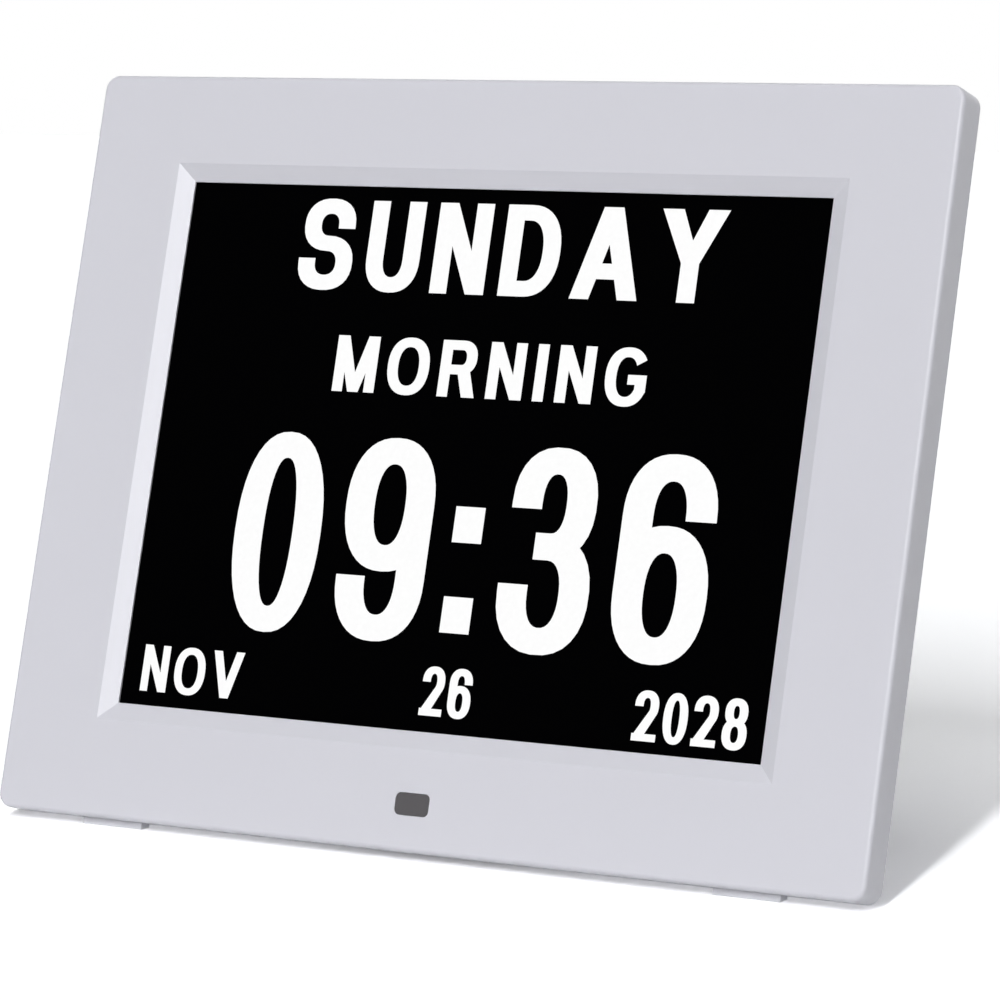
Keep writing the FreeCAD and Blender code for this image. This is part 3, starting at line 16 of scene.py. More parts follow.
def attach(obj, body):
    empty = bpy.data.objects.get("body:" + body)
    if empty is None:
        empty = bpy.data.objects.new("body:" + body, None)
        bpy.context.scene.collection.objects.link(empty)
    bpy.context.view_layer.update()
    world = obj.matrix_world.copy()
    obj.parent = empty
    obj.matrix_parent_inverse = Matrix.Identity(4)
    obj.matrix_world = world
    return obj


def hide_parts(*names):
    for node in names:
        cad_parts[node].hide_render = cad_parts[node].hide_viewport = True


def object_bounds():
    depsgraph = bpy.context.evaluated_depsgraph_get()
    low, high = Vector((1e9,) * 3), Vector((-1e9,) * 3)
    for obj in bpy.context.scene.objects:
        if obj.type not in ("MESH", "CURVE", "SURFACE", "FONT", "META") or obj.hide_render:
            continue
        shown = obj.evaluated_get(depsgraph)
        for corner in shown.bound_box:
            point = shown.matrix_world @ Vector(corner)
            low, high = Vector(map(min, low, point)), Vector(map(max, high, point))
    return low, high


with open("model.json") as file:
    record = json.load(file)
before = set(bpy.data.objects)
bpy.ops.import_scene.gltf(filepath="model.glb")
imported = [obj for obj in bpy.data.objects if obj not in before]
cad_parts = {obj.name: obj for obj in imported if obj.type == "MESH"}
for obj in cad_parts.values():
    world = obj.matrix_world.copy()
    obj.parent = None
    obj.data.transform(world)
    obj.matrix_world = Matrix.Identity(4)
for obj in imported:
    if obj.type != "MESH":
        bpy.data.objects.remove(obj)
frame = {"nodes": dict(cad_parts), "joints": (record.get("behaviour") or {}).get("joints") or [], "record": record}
NODES = frame["nodes"]
CAD_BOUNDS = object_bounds()
scene = bpy.context.scene

# %% [markdown]
# ## One upright drawing board for a leaning clock
# The clock leans back, so its face isn't square to the world. Drawing on a leaning face is
# awkward. Each push button travels square into the case, so its axis tells how far the case
# leans. From that axis a matrix is made that takes upright sizes (right, back, up, from the
# middle of the face) to the leaning place. Everything on the case is drawn upright and placed
# once, in its mesh.

# %% The leaning placement
MM = 0.001


def lean_angle():
    """How far the case leans back, read from the axis of a push button."""
    press = next(joint for joint in frame["joints"] if joint["name"].endswith("_press"))
    _, back, up = press["axis"]
    return math.atan2(up, -back)


LEAN = lean_angle()
UPRIGHT = Matrix.Rotation(-LEAN, 4, "X")


def upright_box(node):
    """Lowest and highest corner of a CAD node, as if the clock stood upright."""
    spots = [UPRIGHT.inverted() @ vertex.co for vertex in NODES[node].data.vertices]
    low = Vector([min(spot[axis] for spot in spots) for axis in range(3)])
    high = Vector([max(spot[axis] for spot in spots) for axis in range(3)])
    return low, high


bezel_low, bezel_high = upright_box("front_bezel")
face_middle = Vector(((bezel_low.x + bezel_high.x) / 2, bezel_low.y,
                      (bezel_low.z + bezel_high.z) / 2))
FACE = UPRIGHT @ Matrix.Translation(face_middle)


def on_face(low_high):
    """A node's upright box, measured from the middle of the face."""
    low, high = low_high
    return low - face_middle, high - face_middle


print("lean %.2f degrees, face %.1f x %.1f mm" % (
    math.degrees(LEAN), (bezel_high.x - bezel_low.x) / MM, (bezel_high.z - bezel_low.z) / MM))

# %% [markdown]
# ## The camera
# A long lens from a little to the right and a little above flattens the face as a product picture
# does. The camera's place is worked out from two angles and a distance. A small shift along its
# own right and up puts the whole case inside the square frame.

# %% Camera
CAMERA_TURN = math.radians(29.47)
CAMERA_RISE = math.radians(6.67)
CAMERA_DISTANCE = 0.9428
CAMERA_RIGHT = 0.00885
CAMERA_UP = -0.00859
SENSOR = 36.0
LENS_IN_SENSORS = 4.2998
LENS = SENSOR * LENS_IN_SENSORS


def direction(turn, rise):
    """A way out from the clock: turned to the right of its front, and raised above level."""
    level = math.cos(rise)
    return Vector((math.sin(turn) * level, -math.cos(turn) * level, math.sin(rise)))


def new_object(name, data):
    made = bpy.data.objects.new(name, data)
    scene.collection.objects.link(made)
    return made


def camera_axes():
    """The camera's own right, up and back directions."""
    back = direction(CAMERA_TURN, CAMERA_RISE)
    right = Vector((math.cos(CAMERA_TURN), math.sin(CAMERA_TURN), 0.0))
    return right, back.cross(right), back


def make_camera():
    right, up, back = camera_axes()
    lens = bpy.data.cameras.new("camera")
    lens.sensor_width = SENSOR
    lens.lens = LENS
    camera = new_object("camera", lens)
    place = UPRIGHT @ face_middle + back * CAMERA_DISTANCE + right * CAMERA_RIGHT + up * CAMERA_UP
    turn = Matrix((right, up, back)).transposed().to_4x4()
    camera.matrix_world = Matrix.Translation(place) @ turn
    scene.camera = camera


make_camera()
print("lens %.1f mm at %.2f m" % (LENS, CAMERA_DISTANCE))

# %% [markdown]
# ## Small helpers for materials
# A finish on a real product is never one flat colour. Moulded plastic has a fine grain from its
# tool and a very slight drift of tone. These helpers keep each material short: one gives a node's
# inputs their values or links, one starts a material, one adds a node, three work out numbers and
# colours from others, and one places a shared group with its own values.

# %% Material helpers
def set_inputs(node, values):
    """Inputs, found by name or place, get plain values, or a link where the value is a socket."""
    for place, value in values.items():
        if isinstance(value, bpy.types.NodeSocket):
            node.id_data.links.new(value, node.inputs[place])
        else:
            node.inputs[place].default_value = value
    return node


def new_material(name, **values):
    """A material with one Principled shader, whose plain sockets are set here."""
    material = bpy.data.materials.new(name)
    material.use_nodes = True
    values = {socket.replace("_", " "): value for socket, value in values.items()}
    return material, set_inputs(material.node_tree.nodes["Principled BSDF"], values)


def add_node(tree, kind, values=None, **settings):
    """A node with its settings and its inputs."""
    node = tree.nodes.new(kind)
    for setting, value in settings.items():
        setattr(node, setting, value)
    return set_inputs(node, values or {})


def worked_out(tree, operation, first, second=0.0, third=0.0):
    """One arithmetic step inside a tree."""
    step = add_node(tree, "ShaderNodeMath", {0: first, 1: second, 2: third}, operation=operation)
    return step.outputs[0]


def between(tree, share, ends):
    """A number that runs from one end to the other while a share runs from zero to one."""
    values = {"Value": share, "To Min": ends[0], "To Max": ends[1]}
    return add_node(tree, "ShaderNodeMapRange", values).outputs[0]


def scaled(tree, colour, factor):
    """A colour made lighter or darker by a number."""
    values = {0: colour, "Scale": factor}
    return add_node(tree, "ShaderNodeVectorMath", values, operation="SCALE").outputs[0]


def place_group(tree, group, values):
    """A shared group inside a material, fed with object coordinates."""
    spot = add_node(tree, "ShaderNodeTexCoord").outputs["Object"]
    return add_node(tree, "ShaderNodeGroup", {**values, "Place": spot}, node_tree=group)


def new_group(name, sockets_in, sockets_out):
    """An empty shader node group, the sockets it is given, and the node that takes its results."""
    group = bpy.data.node_groups.new(name, "ShaderNodeTree")
    for socket, kind, value in sockets_in:
        made = group.interface.new_socket(name=socket, in_out="INPUT", socket_type=kind)
        if value is not None:
            made.default_value = value
    for socket, kind in sockets_out:
        group.interface.new_socket(name=socket, in_out="OUTPUT", socket_type=kind)
    given = group.nodes.new("NodeGroupInput").outputs
    return group, given, group.nodes.new("NodeGroupOutput")


VECTOR, VALUE, COLOUR = "NodeSocketVector", "NodeSocketFloat", "NodeSocketColor"

# %% [markdown]
# ## Shared effects
# Three effects serve most of the finishes. *Moulded grain* is the fine spark texture of an
# injection mould: it lifts the surface by microns and varies the gloss. *Drawn metal* is the
# stretched streak of rolled or turned steel. *Soft mottle* is the cloudiness of rubber, paper and
# cast parts.

# %% Moulded grain
MM_PER_METRE = 1000.0
NOISE_MIDDLE = 0.5
DRIFT_SCALE = 14.0
GRAIN_HEIGHT = 0.00006


def build_moulded_grain():
    group, given, results = new_group(
        "moulded grain",
        [("Place", VECTOR, None), ("Colour", COLOUR, (0.8, 0.8, 0.8, 1.0)),
         ("Grain Size", VALUE, 0.4), ("Grain Lift", VALUE, 0.2), ("Tone Drift", VALUE, 0.03),
         ("Gloss", VALUE, 0.4), ("Gloss Drift", VALUE, 0.08)],
        [("Colour", COLOUR), ("Roughness", VALUE), ("Normal", VECTOR)])
    place, fineness = given["Place"], worked_out(group, "DIVIDE", MM_PER_METRE, given["Grain Size"])
    grain = add_node(group, "ShaderNodeTexNoise", {
        "Vector": place, "Scale": fineness, "Detail": 3.0, "Roughness": 0.6}).outputs["Fac"]
    drift = add_node(group, "ShaderNodeTexNoise", {
        "Vector": place, "Scale": DRIFT_SCALE, "Detail": 2.0}).outputs["Fac"]
    bump = add_node(group, "ShaderNodeBump", {
        "Strength": given["Grain Lift"], "Distance": GRAIN_HEIGHT, "Height": grain})
    shift = worked_out(group, "SUBTRACT", drift, NOISE_MIDDLE)
    tone = worked_out(group, "MULTIPLY_ADD", shift, given["Tone Drift"], 1.0)
    gloss_shift = worked_out(group, "SUBTRACT", grain, NOISE_MIDDLE)
    gloss = worked_out(group, "MULTIPLY_ADD", gloss_shift, given["Gloss Drift"], given["Gloss"])
    set_inputs(results, {"Colour": scaled(group, given["Colour"], tone), "Roughness": gloss,
                         "Normal": bump.outputs["Normal"]})
    return group


GRAIN = build_moulded_grain()
print("group:", GRAIN.name)


# %% Drawn metal
STREAK_TONES = (0.86, 1.08)
STREAK_GLOSS = (-0.08, 0.08)


def build_drawn_metal():
    group, given, results = new_group(
        "drawn metal",
        [("Place", VECTOR, None), ("Colour", COLOUR, (0.6, 0.6, 0.6, 1.0)),
         ("Streak Size", VALUE, 0.3), ("Stretch", VALUE, 12.0), ("Gloss", VALUE, 0.3)],
        [("Colour", COLOUR), ("Roughness", VALUE)])
    across = worked_out(group, "DIVIDE", MM_PER_METRE, given["Streak Size"])
    along = worked_out(group, "DIVIDE", across, given["Stretch"])
    size = add_node(group, "ShaderNodeCombineXYZ", {"X": along, "Y": across, "Z": across})
    stretched = add_node(group, "ShaderNodeVectorMath", {0: given["Place"], 1: size.outputs[0]},
                         operation="MULTIPLY")
    streak = add_node(group, "ShaderNodeTexNoise", {
        "Vector": stretched.outputs[0], "Scale": 1.0, "Detail": 4.0}).outputs["Fac"]
    tone = between(group, streak, STREAK_TONES)
    gloss_shift = between(group, streak, STREAK_GLOSS)
    set_inputs(results, {"Colour": scaled(group, given["Colour"], tone),
                         "Roughness": worked_out(group, "ADD", gloss_shift, given["Gloss"])})
    return group


METAL = build_drawn_metal()
print("group:", METAL.name)


# %% Soft mottle
# the colour sockets of a Mix node share their names with its number sockets, so they go by place
MIX_DARK, MIX_LIGHT, MIX_RESULT = 6, 7, 2
CLOUD_HEIGHT = 0.00005


def build_soft_mottle():
    group, given, results = new_group(
        "soft mottle",
        [("Place", VECTOR, None), ("Dark", COLOUR, (0.1, 0.1, 0.1, 1.0)),
         ("Light", COLOUR, (0.2, 0.2, 0.2, 1.0)), ("Cloud Size", VALUE, 2.0), ("Lift", VALUE, 0.2)],
        [("Colour", COLOUR), ("Normal", VECTOR)])
    fineness = worked_out(group, "DIVIDE", MM_PER_METRE, given["Cloud Size"])
    cloud = add_node(group, "ShaderNodeTexNoise", {
        "Vector": given["Place"], "Scale": fineness,
        "Detail": 6.0, "Roughness": 0.65}).outputs["Fac"]
    mix = add_node(group, "ShaderNodeMix", {
        "Factor": cloud, MIX_DARK: given["Dark"], MIX_LIGHT: given["Light"]}, data_type="RGBA")
    bump = add_node(group, "ShaderNodeBump", {
        "Strength": given["Lift"], "Distance": CLOUD_HEIGHT, "Height": cloud})
    set_inputs(results, {"Colour": mix.outputs[MIX_RESULT], "Normal": bump.outputs["Normal"]})
    return group


MOTTLE = build_soft_mottle()
print("group:", MOTTLE.name)


# %% [markdown]
# ## Three kinds of finish
# Each finish of the clock is one of three recipes with its own colours: a moulded plastic, a
# metal, or a soft and cloudy stuff such as rubber or paper. A recipe is a function, and the table
# below it is the clock's paint list. Names of the finishes are those of the record's material
# slots.

# %% Finish recipes
SHADER_SOCKETS = {"Colour": "Base Color", "Roughness": "Roughness", "Normal": "Normal"}


def recipe(name, effect, looks, **values):
    """A material whose shader is fed by a shared effect."""
    material, shader = new_material(name, **values)
    results = place_group(material.node_tree, effect, looks).outputs
    for result, socket in SHADER_SOCKETS.items():
        if result in results:
            set_inputs(shader, {socket: results[result]})
    return material


def plastic(name, colour, gloss=0.45, grain=0.4, lift=0.18, drift=0.03, **values):
    return recipe(name, GRAIN, {"Colour": (*colour, 1.0), "Grain Size": grain, "Grain Lift": lift,
                                "Tone Drift": drift, "Gloss": gloss}, **values)


def metal(name, colour, gloss=0.3, streak=0.3, stretch=12.0):
    return recipe(name, METAL, {"Colour": (*colour, 1.0), "Streak Size": streak, "Stretch": stretch,
                                "Gloss": gloss}, Metallic=1.0)


def mottled(name, dark, light, cloud=2.0, lift=0.2, **values):
    return recipe(name, MOTTLE, {"Dark": (*dark, 1.0), "Light": (*light, 1.0), "Cloud Size": cloud,
                                 "Lift": lift}, **values)


# %% The clock's finishes
SHELL = (0.662, 0.656, 0.702)
FINISHES = {
    "case_plastic": plastic("case plastic", SHELL, gloss=0.40, grain=0.35, lift=0.12, drift=0.02),
    "cover_plastic": plastic("cover plastic", (0.63, 0.63, 0.685), gloss=0.5, grain=0.6, lift=0.9),
    "button_plastic": plastic("button plastic", (0.52, 0.52, 0.57), gloss=0.4, grain=0.3, lift=0.1),
    "foot_rubber": mottled("foot rubber", (0.80, 0.80, 0.83), (0.86, 0.86, 0.89), Roughness=0.7),
    "screw_steel": metal("screw steel", (0.56, 0.56, 0.57), gloss=0.32, stretch=1.0),
    "pin_steel": metal("pin steel", (0.62, 0.62, 0.63), gloss=0.22),
    "pressed_steel": metal("pressed steel", (0.58, 0.58, 0.58), gloss=0.38),
    "screen_glass": plastic("screen glass", (0.0008, 0.0008, 0.001), gloss=0.35, grain=0.15,
                            lift=0.03, Specular_IOR_Level=0.0),
    "white_film": plastic("white film", (0.86, 0.86, 0.85), gloss=0.3, lift=0.05),
    "clear_acrylic": plastic("clear acrylic", (0.92, 0.94, 0.95), gloss=0.08, lift=0.02,
                             Transmission_Weight=0.8),
    "led_strip": mottled("led strip", (0.80, 0.78, 0.60), (0.86, 0.80, 0.42), cloud=3.0,
                         Roughness=0.4),
    "white_plastic": plastic("white plastic", (0.82, 0.82, 0.80), gloss=0.5),
    "dark_lens": plastic("dark lens", (0.055, 0.05, 0.055), gloss=0.15, lift=0.02, Coat_Weight=0.5),
    "chip_plastic": plastic("chip plastic", (0.025, 0.025, 0.028), gloss=0.5, grain=0.2, lift=0.3),
    "circuit_board": mottled("circuit board", (0.012, 0.10, 0.045), (0.02, 0.16, 0.07), cloud=4.0,
                             Roughness=0.35),
    "wire_cover": plastic("wire cover", (0.35, 0.05, 0.05), gloss=0.45),
    "capacitor_can": metal("capacitor can", (0.72, 0.73, 0.74), gloss=0.25, streak=0.2),
    "ribbon_film": plastic("ribbon film", (0.50, 0.25, 0.05), gloss=0.3),
    "magnet_ferrite": mottled("magnet ferrite", (0.06, 0.06, 0.065), (0.10, 0.10, 0.11),
                              Roughness=0.6),
    "cone_paper": mottled("cone paper", (0.02, 0.02, 0.02), (0.05, 0.05, 0.05), cloud=0.8, lift=0.5,
                          Roughness=0.9),
}


def dress_nodes():
    """Every CAD node takes the finish of its record slot."""
    for part in frame["record"]["subparts"]:
        data = NODES[part["node"]].data
        data.materials.clear()
        data.materials.append(FINISHES[part["material_slot"]])


dress_nodes()
print("finishes:", len(FINISHES))

# %% [markdown]
# ## Shells with soft edges
# A real moulding has no knife edges: each corner has a radius of a tenth of a millimetre or two,
# and that thin line catches the light. The frame's shells are exact but sharp, and their mesh is
# loose triangles. So a copy is merged, its flat areas are joined into whole faces, and a narrow
# bevel goes on its sharp edges. The copy then stands for the node, in the same place and at the
# same size.

# %% Soft-edged copies of CAD nodes
MERGE = 1e-6
FLAT_ANGLE = math.radians(0.1)
CREASE_ANGLE = math.radians(20.0)
CORNER_ANGLE = math.radians(70.0)
SHORTEST_EDGE = 0.3 * MM
EDGE_SEGMENTS = 2
LARGE_FACES_LEAD = 100


def merged_copy(node):
    """A CAD node's mesh as whole faces instead of loose triangles."""
    work = bmesh.new()
    work.from_mesh(NODES[node].data)
    bmesh.ops.remove_doubles(work, verts=work.verts, dist=MERGE)
    bmesh.ops.dissolve_limit(work, angle_limit=FLAT_ANGLE, verts=work.verts, edges=work.edges)
    return work


def mark_edges(work):
    """Real corners are marked for the bevel, gentle creases stay crisp lines."""
    weight = work.edges.layers.float.new("bevel_weight_edge")
    for edge in work.edges:
        angle = edge.calc_face_angle(0.0)
        edge.smooth = not CREASE_ANGLE < angle < CORNER_ANGLE
        if angle > CORNER_ANGLE and edge.calc_length() > SHORTEST_EDGE:
            edge[weight] = 1.0


def worked_mesh(piece):
    """What an object's modifiers make, as a plain mesh. The object and its own mesh go."""
    source = piece.data
    final = piece.evaluated_get(bpy.context.evaluated_depsgraph_get())
    result = bpy.data.meshes.new_from_object(final)
    bpy.data.objects.remove(piece)
    bpy.data.meshes.remove(source)
    return result


def smooth(mesh):
    for polygon in mesh.polygons:
        polygon.use_smooth = True


def bevelled(work, width):
    """A mesh whose real corners have a narrow bevel, and whose flat faces look flat."""
    mark_edges(work)
    mesh = bpy.data.meshes.new("work")
    work.to_mesh(mesh)
    work.free()
    smooth(mesh)
    piece = new_object("work", mesh)
    bevel = piece.modifiers.new("edge", "BEVEL")
    bevel.width = width
    bevel.segments = EDGE_SEGMENTS
    bevel.limit_method = "WEIGHT"
    bevel.use_clamp_overlap = False
    even = piece.modifiers.new("even", "WEIGHTED_NORMAL")
    even.mode = "FACE_AREA_WITH_ANGLE"
    even.weight = LARGE_FACES_LEAD
    even.keep_sharp = True
    return worked_mesh(piece)


def add_piece(name, mesh, body, slot, replaces=(), finish=None):
    """A finished mesh becomes a piece that rides on a body, with its slot's finish or its own."""
    mesh.name = name
    mesh.materials.clear()
    mesh.materials.append(FINISHES[finish or slot])
    piece = new_object(name, mesh)
    if replaces:
        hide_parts(*replaces)
    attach(piece, body)
    print(name, "faces:", len(mesh.polygons))


# node, piece, body, slot, width of the rounded edge in millimetres
SOFT_EDGES = [
    ("front_bezel", "bezel_shell", "case", "case_plastic", 0.15),
    ("rear_cover", "back_shell", "case", "cover_plastic", 0.15),
    ("stand_leg", "folding_leg", "stand", "cover_plastic", 0.2),
    ("stand_foot_pad", "leg_sole", "stand", "foot_rubber", 0.15),
    ("rubber_foot_left", "left_foot", "case", "foot_rubber", 0.2),
    ("rubber_foot_right", "right_foot", "case", "foot_rubber", 0.2),
    ("sensor_window", "sensor_lens", "case", "dark_lens", 0.12),
    ("dc_jack", "power_jack", "case", "chip_plastic", 0.1),
]
for node, name, body, slot, width in SOFT_EDGES:
    add_piece(name, bevelled(merged_copy(node), width * MM), body, slot, (node,))

# %% [markdown]
# ## Screws that repeat
# Fourteen self-tapping screws hold the clock together: four in wells at the back, four on the
# display's brackets and six on the two boards. All are of one kind, a pan head with a cross
# recess, so one Geometry Nodes tree makes them in their own sizes. It gets a point for each seat,
# with the shank's reach as an attribute. The head is a short cylinder whose top is pushed up into
# a crown by a formula, and two crossed blocks cut the recess. Each screw is turned by its own
# random angle, as a screwdriver leaves it. The seats are read from the frame's own plain screws,
# so head and shank stay where the construction has them.

# %% The screw tree
HEAD_FLATS = 28
HEAD_RINGS = 4
SHANK_FLATS = 16
CROWN_SHARE = 0.42
TURN_SEED = 7
UNIT = 1.0
FLOAT_SIZES = ("Head Radius", "Head Height", "Shank Radius",
               "Recess Length", "Recess Width", "Recess Depth")


def along_z(tree, value):
    """A vector that has a value as its height."""
    return add_node(tree, "ShaderNodeCombineXYZ", {"Z": value}).outputs[0]


def moved_up(tree, shape, height):
    """A shape raised by a height that a socket gives."""
    move = {"Geometry": shape, "Translation": along_z(tree, height)}
    return add_node(tree, "GeometryNodeTransform", move).outputs[0]


def crowned_head(tree, size):
    """A short cylinder whose ringed top rises into a crown, with a cross cut out of it."""
    side = worked_out(tree, "MULTIPLY", size["Head Height"], 1 - CROWN_SHARE)
    crown = worked_out(tree, "MULTIPLY", size["Head Height"], CROWN_SHARE)
    disc = add_node(tree, "GeometryNodeMeshCylinder", {
        "Vertices": HEAD_FLATS, "Fill Segments": HEAD_RINGS,
        "Radius": size["Head Radius"], "Depth": side}, fill_type="TRIANGLE_FAN")
    spot = add_node(tree, "GeometryNodeInputPosition").outputs[0]
    place = add_node(tree, "ShaderNodeSeparateXYZ", {0: spot}).outputs
    across = worked_out(tree, "DIVIDE", place["X"], size["Head Radius"])
    along = worked_out(tree, "DIVIDE", place["Y"], size["Head Radius"])
    squares = worked_out(tree, "ADD", worked_out(tree, "MULTIPLY", across, across),
                         worked_out(tree, "MULTIPLY", along, along))
    rise = worked_out(tree, "MULTIPLY", crown, worked_out(tree, "SUBTRACT", 1.0, squares))
    on_top = worked_out(tree, "GREATER_THAN", place["Z"], 0.0)
    domed = add_node(tree, "GeometryNodeSetPosition", {
        "Geometry": disc.outputs["Mesh"], "Selection": on_top, "Offset": along_z(tree, rise)})
    lifted = moved_up(tree, domed.outputs[0], worked_out(tree, "DIVIDE", side, 2.0))
    cut = add_node(tree, "GeometryNodeMeshBoolean", {"Mesh 1": lifted}, operation="DIFFERENCE")
    depth = worked_out(tree, "MULTIPLY", size["Recess Depth"], 2.0)
    for long_way, short_way in (("X", "Y"), ("Y", "X")):
        block_size = add_node(tree, "ShaderNodeCombineXYZ", {
            long_way: size["Recess Length"], short_way: size["Recess Width"], "Z": depth})
        block = add_node(tree, "GeometryNodeMeshCube", {"Size": block_size.outputs[0]})
        set_inputs(cut, {"Mesh 2": moved_up(tree, block.outputs["Mesh"], size["Head Height"])})
    return cut.outputs["Mesh"]


def unit_shank(tree, size):
    """A shank one metre long below its seat, to be scaled to each screw's reach."""
    rod = add_node(tree, "GeometryNodeMeshCylinder", {
        "Vertices": SHANK_FLATS, "Radius": size["Shank Radius"], "Depth": UNIT})
    hung = add_node(tree, "GeometryNodeTransform", {
        "Geometry": rod.outputs["Mesh"], "Translation": (0.0, 0.0, -UNIT / 2)})
    return hung.outputs[0]


def build_screw_tree():
    tree = bpy.data.node_groups.new("pan head screws", "GeometryNodeTree")
    kinds = [("Seats", "NodeSocketGeometry")] + [(name, VALUE) for name in FLOAT_SIZES]
    for name, kind in kinds + [("Aim", VECTOR), ("Finish", "NodeSocketMaterial")]:
        tree.interface.new_socket(name=name, in_out="INPUT", socket_type=kind)
    tree.interface.new_socket(name="Screws", in_out="OUTPUT", socket_type="NodeSocketGeometry")
    size = tree.nodes.new("NodeGroupInput").outputs
    aim = add_node(tree, "FunctionNodeAlignRotationToVector", {"Vector": size["Aim"]}, axis="Z")
    reach = add_node(tree, "GeometryNodeInputNamedAttribute", {"Name": "reach"}, data_type="FLOAT")
    stretch = add_node(tree, "ShaderNodeCombineXYZ", {"X": 1.0, "Y": 1.0, "Z": reach.outputs[0]})
    spin = add_node(tree, "FunctionNodeRandomValue", {"Max": math.tau, "Seed": TURN_SEED},
                    data_type="FLOAT").outputs["Value"]
    joined = add_node(tree, "GeometryNodeJoinGeometry")
    for shape, scale in ((crowned_head(tree, size), (1.0, 1.0, 1.0)),
                         (unit_shank(tree, size), stretch.outputs[0])):
        planted = add_node(tree, "GeometryNodeInstanceOnPoints", {
            "Points": size["Seats"], "Instance": shape, "Rotation": aim.outputs[0], "Scale": scale})
        turned = add_node(tree, "GeometryNodeRotateInstances", {
            "Instances": planted.outputs[0], "Rotation": along_z(tree, spin)})
        set_inputs(joined, {0: turned.outputs[0]})
    real = add_node(tree, "GeometryNodeRealizeInstances", {"Geometry": joined.outputs[0]})
    dressed = add_node(tree, "GeometryNodeSetMaterial", {
        "Geometry": real.outputs[0], "Material": size["Finish"]})
    add_node(tree, "NodeGroupOutput", {0: dressed.outputs[0]})
    return tree


SCREW_TREE = build_screw_tree()
print("tree:", SCREW_TREE.name, "nodes:", len(SCREW_TREE.nodes))


# %% Seats from the frame's plain screws
SAME_PLACE = 1e-5


def low_corner(solid):
    """The lowest corner of a solid's box, in whole small steps, for sorting."""
    return tuple(round(min(axis) / SAME_PLACE) for axis in zip(*solid))


def separate_solids(node):
    """The corner points of each loose solid of a node, in upright axes."""
    work = bmesh.new()
    work.from_mesh(NODES[node].data)
    bmesh.ops.remove_doubles(work, verts=work.verts, dist=MERGE)
    waiting, solids = set(work.verts), []
    while waiting:
        edge_of_search, solid = [waiting.pop()], []
        while edge_of_search:
            corner = edge_of_search.pop()
            solid.append(UPRIGHT.inverted() @ corner.co - face_middle)
            fresh = [edge.other_vert(corner) for edge in corner.link_edges]
            fresh = [other for other in fresh if other in waiting]
            waiting.difference_update(fresh)
            edge_of_search += fresh
        solids.append(solid)
    work.free()
    return sorted(solids, key=low_corner)


def measure_screw(solid):
    """Middle line, radii and levels of one plain screw that lies along the depth axis."""
    middle_x = (min(spot.x for spot in solid) + max(spot.x for spot in solid)) / 2
    middle_z = (min(spot.z for spot in solid) + max(spot.z for spot in solid)) / 2
    reach = {}
    for spot in solid:
        level = round(spot.y / SAME_PLACE)
        reach.setdefault(level, []).append(math.hypot(spot.x - middle_x, spot.z - middle_z))
    front, seat, back = sorted(reach)
    head, tip = (back, front) if min(reach[back]) > min(reach[front]) else (front, back)
    return {"seat": Vector((middle_x, seat * SAME_PLACE, middle_z)),
            "toward": math.copysign(1.0, head - seat),
            "head": abs(head - seat) * SAME_PLACE, "shank": abs(tip - seat) * SAME_PLACE,
            "head_radius": max(reach[head]), "shank_radius": max(reach[tip])}


# %% Screw sets
RECESS_LENGTH_SHARE = 1.15
RECESS_WIDTH_SHARE = 0.24
RECESS_DEPTH_SHARE = 0.6


def set_input(modifier, name, value):
    """A modifier's input is found by its identifier."""
    sockets = modifier.node_group.interface.items_tree
    socket = next(item for item in sockets if item.name == name and item.in_out == "INPUT")
    modifier[socket.identifier] = value


def make_screws(node):
    screws = [measure_screw(solid) for solid in separate_solids(node)]
    first = screws[0]
    seats = bpy.data.meshes.new("seats")
    seats.from_pydata([screw["seat"] for screw in screws], [], [])
    reach = seats.attributes.new("reach", "FLOAT", "POINT")
    reach.data.foreach_set("value", [screw["shank"] for screw in screws])
    holder = new_object("seats", seats)
    modifier = holder.modifiers.new("screws", "NODES")
    modifier.node_group = SCREW_TREE
    radius, head = first["head_radius"], first["head"]
    sizes = {"Head Radius": radius, "Head Height": head, "Shank Radius": first["shank_radius"],
             "Recess Length": radius * RECESS_LENGTH_SHARE,
             "Recess Width": radius * RECESS_WIDTH_SHARE, "Recess Depth": head * RECESS_DEPTH_SHARE,
             "Aim": (0.0, first["toward"], 0.0), "Finish": FINISHES["screw_steel"]}
    for name, value in sizes.items():
        set_input(modifier, name, value)
    mesh = worked_mesh(holder)
    mesh.transform(FACE)
    smooth(mesh)
    mesh.set_sharp_from_angle(angle=CREASE_ANGLE)
    print(node, "screws:", len(screws))
    return mesh


for set_name, node in (("cover_screws", "case_screws"), ("clamp_screws", "bracket_screws"),
                       ("circuit_screws", "board_screws")):
    add_piece(set_name, make_screws(node), "case", "screw_steel", (node,))

# %% [markdown]
# ## An alphabet of strokes
# The screen shows heavy plain capitals. The built-in font is too thin for that, and thickening it
# breaks some letters. So each letter is drawn as a sign painter would, from bars, slants and bent
# bands, all of one stem width. Heights are 1 from baseline to top, and a letter's width and stem
# are given, so the same rules draw wide capitals and the narrow tall digits of the time.

# %% Stroke helpers
ARC_STEPS = 22
ROUNDNESS = 2.3
OVERSHOOT = 0.012


def bar(left, low, right, high):
    """An upright or level straight stroke."""
    return [[(left, low), (right, low), (right, high), (left, high)]]


def slant(low_left, low_right, low, high_left, high_right, high):
    """A leaning stroke with level ends."""
    return [[(low_left, low), (low_right, low), (high_right, high), (high_left, high)]]


def oval_spot(middle, radii, degrees):
    """A point on a slightly squared oval."""
    turn = math.radians(degrees)
    power = 2 / ROUNDNESS
    across = math.copysign(abs(math.cos(turn)) ** power, math.cos(turn))
    upward = math.copysign(abs(math.sin(turn)) ** power, math.sin(turn))
    return middle[0] + radii[0] * across, middle[1] + radii[1] * upward


